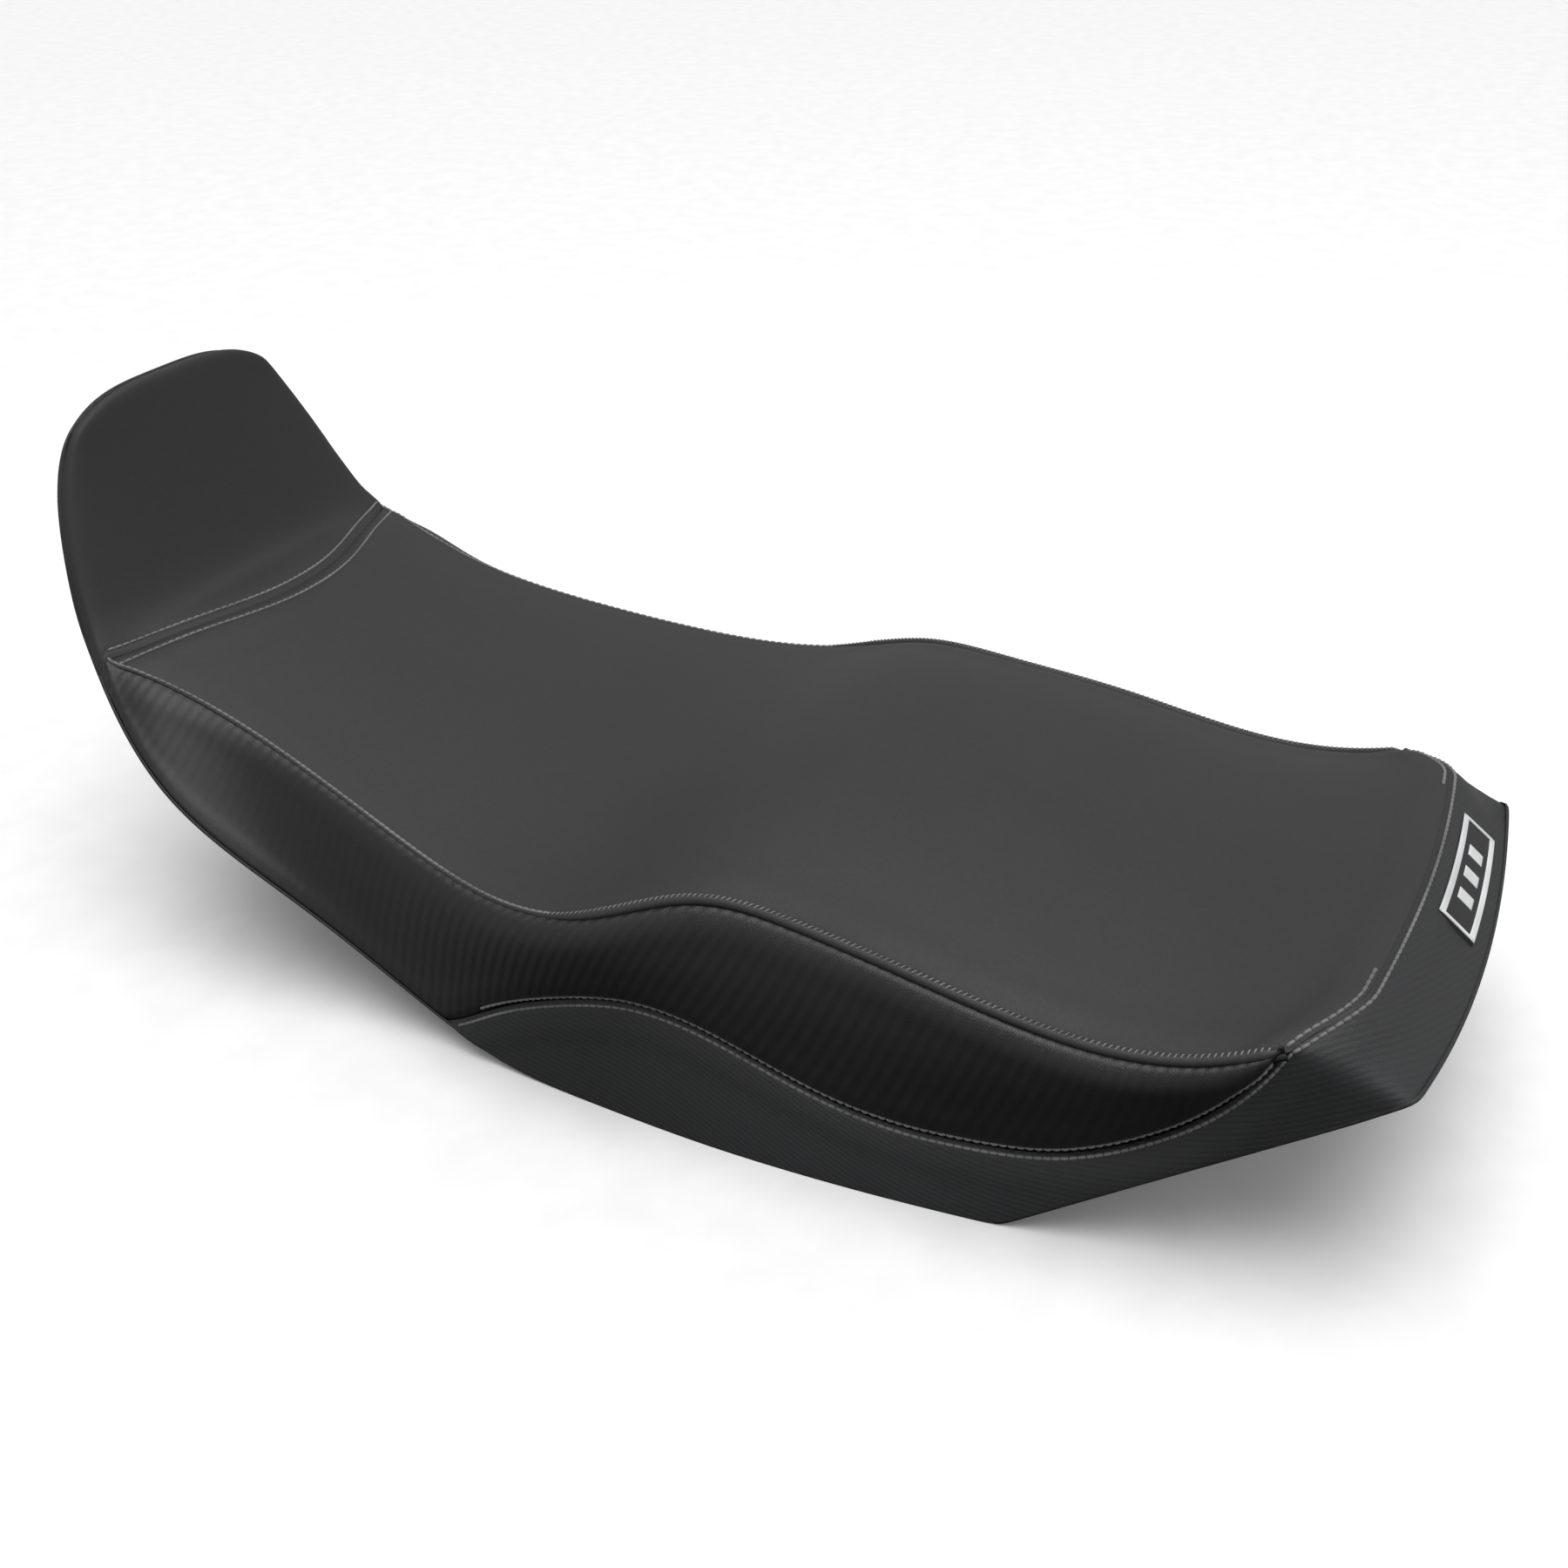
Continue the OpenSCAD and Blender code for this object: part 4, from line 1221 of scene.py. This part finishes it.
@dataclass
class Core:
    """The foam and the moulded pan under the cover."""

    shape: SeatShape
    materials: dict[str, bpy.types.Material]
    foam_inset: float = 11.0
    foam_feather: float = 1.4
    front_cut: float = 0.25
    tail_cut: float = 0.06
    corner_trim: float = 0.11
    rib_depth: float = 14.0
    rib_wall: float = 3.0
    rib_places: tuple = (-38.0, 38.0)
    cross_ribs: tuple = (4.6, 6.6)

    def foam(self) -> None:
        """The moulded foam between the cover and the pan."""
        shape = self.shape
        u = np.linspace(0.25, shape.last - 0.3, 110)[:, None]
        ahead = np.clip((u - 6.5) / 2.5, 0, 1)
        # The foam's sides end above the lower seam. From below, a sliver still shows in its slit near the tail.
        reach_down = np.minimum(0.8 - 0.5 * ahead, np.maximum(0.15, 0.7 * shape.seam_share(u)))
        side = np.linspace(0, 1, 12)[1:][None] * reach_down
        left = shape.side(u, side)
        middle = shape.top(u, np.linspace(-1, 1, 45)[None])
        grid = np.concatenate([left[:, ::-1] * np.array([1, -1, 1]), middle, left], 1)
        reach = np.linspace(-1, 1, 91)[None] * (0.86 - 0.1 * ahead)
        under = softened(shape.pan(u, reach), 1, 91, 1.0)
        outer = softened(grid, 1, 91, 9.0)
        outer = outer - self.foam_inset * grid_normals(outer)
        # Near its edges the foam thins to a feather that stays above the pan's upper face.
        up = grid_normals(under)
        outer = outer + np.maximum(0, self.foam_feather - ((outer - under) * up).sum(-1, keepdims=True)) * up
        thing = make_shell("moulded_foam", outer, under + np.array([0, 0, 0.4]))
        dress(thing, self.materials["foam"])
        settle(thing, "foam", ["foam_cushion"])

    def rib(self, y: float) -> tuple[Points, Points]:
        """One lengthwise rib under the pan.

        Args:
            y: its distance to the left of the centre line.

        Returns:
            The vertices and the quads.
        """
        u = np.linspace(self.shape.kick + 0.4, 9.4, 60)
        v = y / (self.shape.skirt(u)[:, 1] - self.shape.pan_inset)
        top = self.shape.pan(u, v) - np.array([0, 0, self.shape.pan_wall - 0.6])
        depth = self.rib_depth * np.minimum(1, 0.35 + np.minimum(u - self.shape.kick, 9.6 - u))
        foot = top - np.stack([0 * u, 0 * u, depth], 1)
        half = np.array([0, self.rib_wall / 2, 0])
        return shell_parts(np.stack([top + half, foot + half], 1), np.stack([top - half, foot - half], 1))

    def cross_rib(self, station: float) -> tuple[Points, Points]:
        """One rib across the pan, between its walls.

        Args:
            station: its place along the seat.

        Returns:
            The vertices and the quads.
        """
        v = np.linspace(-0.86, 0.86, 50)
        top = self.shape.pan(np.full_like(v, station), v) - np.array([0, 0, self.shape.pan_wall - 0.6])
        foot = top - np.array([0, 0, 1.0]) * (self.rib_depth * (1 - 0.7 * np.abs(v) ** 3))[:, None] * 0.6
        half = np.array([self.rib_wall / 2, 0, 0])
        return shell_parts(np.stack([top - half, foot - half], 1), np.stack([top + half, foot + half], 1))

    def pan(self) -> None:
        """The pan: an arched tray with ribs, and posts where the brackets are bolted."""
        shape = self.shape
        # The rim stops short of the nose's rounded front and of the tail's corners, under the hem.
        u = graded(self.tail_cut, shape.last - self.front_cut, 150, 0.3)[:, None]
        v = graded(-1, 1, 90, 0.8)[None] * (1 - self.corner_trim * np.maximum(0, 1 - u / 0.6) ** 2)
        upper = shape.pan(u, v)
        parts = [shell_parts(upper, upper - self.shape.pan_wall * grid_normals(upper))]
        parts += [self.rib(y) for y in self.rib_places]
        parts += [self.cross_rib(station) for station in self.cross_ribs]
        parts += [self.post(*place) for place in self.post_places()]
        thing = make_object("ribbed_pan", *join_parts(parts))
        dress(thing, self.materials["pan"])
        settle(thing, "pan_plastic", ["seat_pan"])

    def post_places(self) -> list[tuple[Points, float, float, float]]:
        """Where the pan's posts stand, from the brackets' fasteners.

        Returns:
            For each post, its foot, its radius, its bore and its length.
        """
        places = []
        fasteners = (("threaded_inserts", 9.0, 4.6, "striker_plate"), ("hook_screws", 8.0, 2.5, "front_hook"))
        for name, radius, bore, plate in fasteners:
            low, high = (np.array(corner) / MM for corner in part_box(name))
            foot_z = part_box(plate)[1][2] / MM
            axis = 1 if name == "threaded_inserts" else 0
            edge = 4.5 if name == "threaded_inserts" else 6.0
            for end in (low[axis] + edge, high[axis] - edge):
                spot = (low + high) / 2
                spot[axis] = end
                spot[2] = foot_z
                places.append((spot, radius, bore, self.under_side(spot) - foot_z + 1.0))
        return places

    def under_side(self, spot: Points) -> float:
        """The height of the pan's lower face over a spot near the centre line.

        Args:
            spot: the spot, of which only X is used.

        Returns:
            Millimetres above the ground.
        """
        u = np.linspace(0, self.shape.last, 800)
        line = self.shape.pan(u, np.zeros_like(u))
        order = np.argsort(line[:, 0])
        return float(np.interp(spot[0], line[order, 0], line[order, 2])) - self.shape.pan_wall

    def post(self, foot: Points, radius: float, bore: float, length: float) -> tuple[Points, Points]:
        """One hollow post with a rounded foot and a spread root."""
        profile = [(bore, 0), (radius - 0.8, 0), (radius - 0.2, 0.25), (radius, 0.9), (radius, length - 3),
                   (radius + 1.0, length - 1.2), (radius + 3.0, length), (bore, length), (bore, length / 2)]
        return lathe_parts(profile, foot)

    def build(self) -> None:
        """Makes the foam and the pan."""
        self.foam()
        self.pan()


@dataclass
class Feet:
    """The rubber feet and the pads under the nose."""

    shape: SeatShape
    materials: dict[str, bpy.types.Material]
    radius: float = 12.0
    stem: float = 4.9

    def foot(self, centre: Points, height: float) -> tuple[Points, Points]:
        """One push-in foot: a ribbed body with a dished sole and a stem.

        Args:
            centre: the middle of its sole.
            height: its height up to the pan.

        Returns:
            The vertices and the quads.
        """
        r = self.radius
        profile = [(0.4, 0.8), (r * 0.55, 0.8), (r * 0.68, 0.05), (r - 1.2, 0.0), (r - 0.3, 0.35), (r, 1.2)]
        grooves = int((height - 6) / 4)
        for i in range(grooves):
            z = 3.0 + i * 4
            profile += [(r, z), (r - 0.9, z + 0.8), (r - 0.9, z + 1.4), (r, z + 2.2)]
        profile += [(r, height - 2.4), (r - 0.4, height - 0.5), (self.stem, height - 0.3),
                    (self.stem, height + 2.4), (0.4, height + 2.4)]
        return lathe_parts(profile, centre, 64)

    def build(self) -> None:
        """Makes the four feet and the two pads."""
        for name in ("front_bumpers", "rear_bumpers"):
            low, high = (np.array(corner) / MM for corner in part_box(name))
            middle = (low + high) / 2
            parts = []
            for y in (low[1] + self.radius, high[1] - self.radius):
                parts.append(self.foot(np.array([middle[0], y, low[2]]), high[2] - low[2] - 2.4))
            thing = make_object(f"{name}_moulded", *join_parts(parts))
            dress(thing, self.materials["rubber"])
            settle(thing, "rubber", [name])
        self.pads()

    def pads(self) -> None:
        """The soft-edged pads that keep the nose off the tank."""
        u, v = graded(11.8, 12.4, 24)[:, None], graded(0.35, 0.65, 24)[None]
        upper = self.shape.pan(u, v)
        normals = grid_normals(upper)
        a, b = np.linspace(-1, 1, 24)[:, None], np.linspace(-1, 1, 24)[None]
        swell = 4.0 + 2.9 * (1 - a**8) * (1 - b**8)
        left = (upper - 2.9 * normals, upper - (3.0 + swell[..., None]) * normals)
        flip = np.array([1, -1, 1])
        parts = [shell_parts(*left), shell_parts(left[0][:, ::-1] * flip, left[1][:, ::-1] * flip)]
        thing = make_object("nose_pads_moulded", *join_parts(parts))
        dress(thing, self.materials["rubber"])
        settle(thing, "rubber", ["nose_pads"])


@dataclass
class Label:
    """The sewn label on the rear band, with a plain border and three bars."""

    shape: SeatShape
    materials: dict[str, bpy.types.Material]
    length: float = 86.0
    height: float = 26.0
    middle: float = -29.0
    lean: float = 10.0

    def spot(self, s: Points, t: Points, lift: float | Points) -> Points:
        """Points on the label.

        Args:
            s: places along it, from -1 to 1.
            t: places down it, from 0 to 1.
            lift: millimetres off the band.

        Returns:
            The points.
        """
        s, t = np.broadcast_arrays(s, t)
        half = self.shape.shoulder_stations[0][1]
        band = float(np.linalg.norm(self.shape.rear(0.0, 1.0) - self.shape.rear(0.0, 0.0)))
        v = (self.middle + s * self.length / 2 + self.lean * (0.5 - t)) / half
        k = 0.5 + (t - 0.5) * self.height / band
        down = self.shape.rear(v, k + 0.02) - self.shape.rear(v, k)
        across = self.shape.rear(v + 0.02, k) - self.shape.rear(v, k)
        return self.shape.rear(v, k) + np.asarray(lift)[..., None] * unit(np.cross(across, down))

    def bar(self, s: tuple[float, float], t: tuple[float, float], low: float, high: float) -> tuple[Points, Points]:
        """A raised strip of the label with rounded upper edges.

        Args:
            s: its two ends along the label.
            t: its two ends down the label.
            low: where its walls start, in millimetres off the band.
            high: its top, in millimetres off the band.

        Returns:
            The vertices and the quads.
        """
        a, b = np.linspace(*s, 30)[:, None], np.linspace(*t, 14)[None]
        x, y = np.linspace(-1, 1, 30)[:, None], np.linspace(-1, 1, 14)[None]
        crown = (1 - np.abs(x) ** 14) * (1 - np.abs(y) ** 6)
        upper = self.spot(a, b, low + (high - low) * (0.35 + 0.65 * crown))
        return shell_parts(upper, self.spot(a, b, np.array(low - 0.3)))

    def build(self) -> None:
        """Makes the label and its print."""
        thing = make_object("woven_label", *self.bar((-1, 1), (0, 1), -0.2, 1.4))
        dress(thing, self.materials["label"])
        settle(thing, "label", ["rear_label"])
        parts = [self.bar((-0.97, 0.97), (t, t + 0.14), 1.3, 1.75) for t in (0.03, 0.83)]
        parts += [self.bar((a, a + 0.05), (0.06, 0.94), 1.3, 1.75) for a in (-0.97, 0.92)]
        parts += [self.bar((a, a + 0.2), (0.3, 0.7), 1.3, 1.75) for a in (-0.5, -0.08, 0.34)]
        thing = make_object("label_border_and_bars", *join_parts(parts))
        dress(thing, self.materials["print"])
        settle(thing, "print", ["label_print"])


@dataclass
class Hardware:
    """The brackets and fasteners, which keep their designed shapes and get their finishes here."""

    materials: dict[str, bpy.types.Material]
    finishes: tuple = (
        ("front_hook", "powder"), ("striker_plate", "powder"), ("hook_screws", "zinc"), ("striker_loop", "zinc"),
        ("striker_bolts", "zinc"), ("striker_washers", "zinc"), ("threaded_inserts", "brass"),
        ("cover_staples", "zinc"),
    )  # fmt: skip

    def build(self) -> None:
        """Dresses each bracket and fastener."""
        for name, finish in self.finishes:
            dress(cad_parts[name], self.materials[finish])
            LOG.info("%s: %s", name, self.materials[finish].name)


@dataclass(frozen=True)
class Studio:
    """A pale floor, soft light and the camera."""

    azimuth: float = 27.74
    elevation: float = 31.10
    roll: float = -1.32
    distance: float = 0.9654
    aim: tuple = (0.008, -0.052, 0.069)
    lens: float = 40.5
    floor_side: float = 12.0
    sky_strength: float = 0.5
    sun_strength: float = 1.7
    sun_from: tuple = (-0.05, 0.15, 1.0)
    sun_width: float = 50.0
    # Name, place, size and power of each soft light.
    softboxes: tuple = (
        ("overhead_softbox", (-0.15, 0.35, 2.2), 1.6, 9.0), ("rear_softbox", (-1.8, -0.5, 0.9), 0.9, 4.0),
    )  # fmt: skip

    def camera(self) -> None:
        """Sets the camera behind the rider's left shoulder, looking down and forward."""
        a, e, r = (math.radians(x) for x in (self.azimuth, self.elevation, self.roll))
        back = Vector((-math.sin(a) * math.cos(e), math.cos(a) * math.cos(e), math.sin(e)))
        right = Vector((-math.cos(a), -math.sin(a), 0.0))
        up = back.cross(right)
        turned = right * math.cos(r) + up * math.sin(r)
        upright = up * math.cos(r) - right * math.sin(r)
        data = bpy.data.cameras.new("camera")
        data.lens, data.sensor_width = self.lens, 36.0
        camera = bpy.data.objects.new("camera", data)
        place = Vector(self.aim) + back * self.distance
        camera.matrix_world = Matrix.Translation(place) @ Matrix((turned, upright, back)).transposed().to_4x4()
        bpy.context.collection.objects.link(camera)
        bpy.context.scene.camera = camera

    def light(self, name: str, place: Sequence[float], size: float, power: float) -> None:
        """Adds one soft square light that faces the seat.

        Args:
            name: the light's name.
            place: where it hangs, in metres.
            size: the length of its side, in metres.
            power: its power in watts.
        """
        data = bpy.data.lights.new(name, "AREA")
        data.shape, data.size, data.energy = "SQUARE", size, power
        lamp = bpy.data.objects.new(name, data)
        lamp.location = place
        lamp.rotation_mode = "QUATERNION"
        lamp.rotation_quaternion = (Vector(place) - Vector((0, 0, 0.1))).to_track_quat("Z", "Y")
        bpy.context.collection.objects.link(lamp)

    def sky(self) -> None:
        """Lights the studio evenly from above and more dimly from below."""
        world = bpy.data.worlds.new("studio")
        world.use_nodes = True
        tree = world.node_tree
        heading = node(tree, "TexCoord", {}, {})
        height = node(tree, "SeparateXYZ", {}, {"Vector": heading.outputs["Generated"]})
        level = node(tree, "MapRange", {"From Min": -0.9, "From Max": -0.1, "To Min": 0.0, "To Max": 1.0},
                     {"Value": height.outputs["Z"]})
        shade = ramp(node(tree, "ValToRGB", {}, {"Fac": level.outputs["Result"]}),
                     ((0.0, "#404040"), (1.0, "#ffffff")))
        tree.links.new(shade, tree.nodes["Background"].inputs["Color"])
        tree.nodes["Background"].inputs["Strength"].default_value = self.sky_strength
        bpy.context.scene.world = world
        data = bpy.data.lights.new("sun_through_diffuser", "SUN")
        data.energy, data.angle = self.sun_strength, math.radians(self.sun_width)
        sun = bpy.data.objects.new("sun_through_diffuser", data)
        sun.rotation_mode = "QUATERNION"
        sun.rotation_quaternion = Vector(self.sun_from).to_track_quat("Z", "Y")
        bpy.context.collection.objects.link(sun)

    def build(self, floor_z: float) -> None:
        """Makes the floor, the lights and the camera.

        Args:
            floor_z: the height that the seat stands at, in metres.
        """
        half = self.floor_side / 2 / MM
        corners = np.array([(-half, -half, 0), (half, -half, 0), (half, half, 0), (-half, half, 0)])
        floor = make_object("studio_floor", corners + np.array([0, 0, floor_z / MM - 0.2]), np.array([[0, 1, 2, 3]]))
        dress(floor, PlainFinish("white_studio_paper", "#f2f2f2", "#f6f6f6", 0.9, texture_depth_mm=0.01).make())
        floor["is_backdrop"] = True
        # The paper shows and takes the shadow, but sends no light back up to the seat.
        floor.visible_diffuse = floor.visible_glossy = False
        self.sky()
        bpy.context.scene.view_settings.view_transform = "Standard"
        for softbox in self.softboxes:
            self.light(*softbox)
        self.camera()


def main() -> None:
    logging.basicConfig(level=logging.INFO, format="%(message)s")
    cad_box = [list(map(float, corner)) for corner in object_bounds()]
    finishes: dict[str, Callable[[], bpy.types.Material]] = {
        "top": TOP_VINYL.make, "nose": NOSE_VINYL.make, "ribbed": RIBBED_VINYL.make, "band": BAND_VINYL.make,
        "welt": WELT_VINYL.make, "thread": THREAD.make, "pan": PAN_PLASTIC.make, "foam": FOAM.make,
        "rubber": RUBBER.make, "powder": POWDER_COAT.make, "zinc": ZINC.make, "brass": BRASS.make,
        "label": LABEL_WEAVE.make, "print": LABEL_PRINT.make,
    }  # fmt: skip
    materials = {name: make() for name, make in finishes.items()}
    shape = SeatShape()
    Studio().build(cad_box[0][2])
    Cover(shape, materials).build()
    Core(shape, materials).build()
    Feet(shape, materials).build()
    Label(shape, materials).build()
    Hardware(materials).build()


if __name__ == "__main__":
    main()
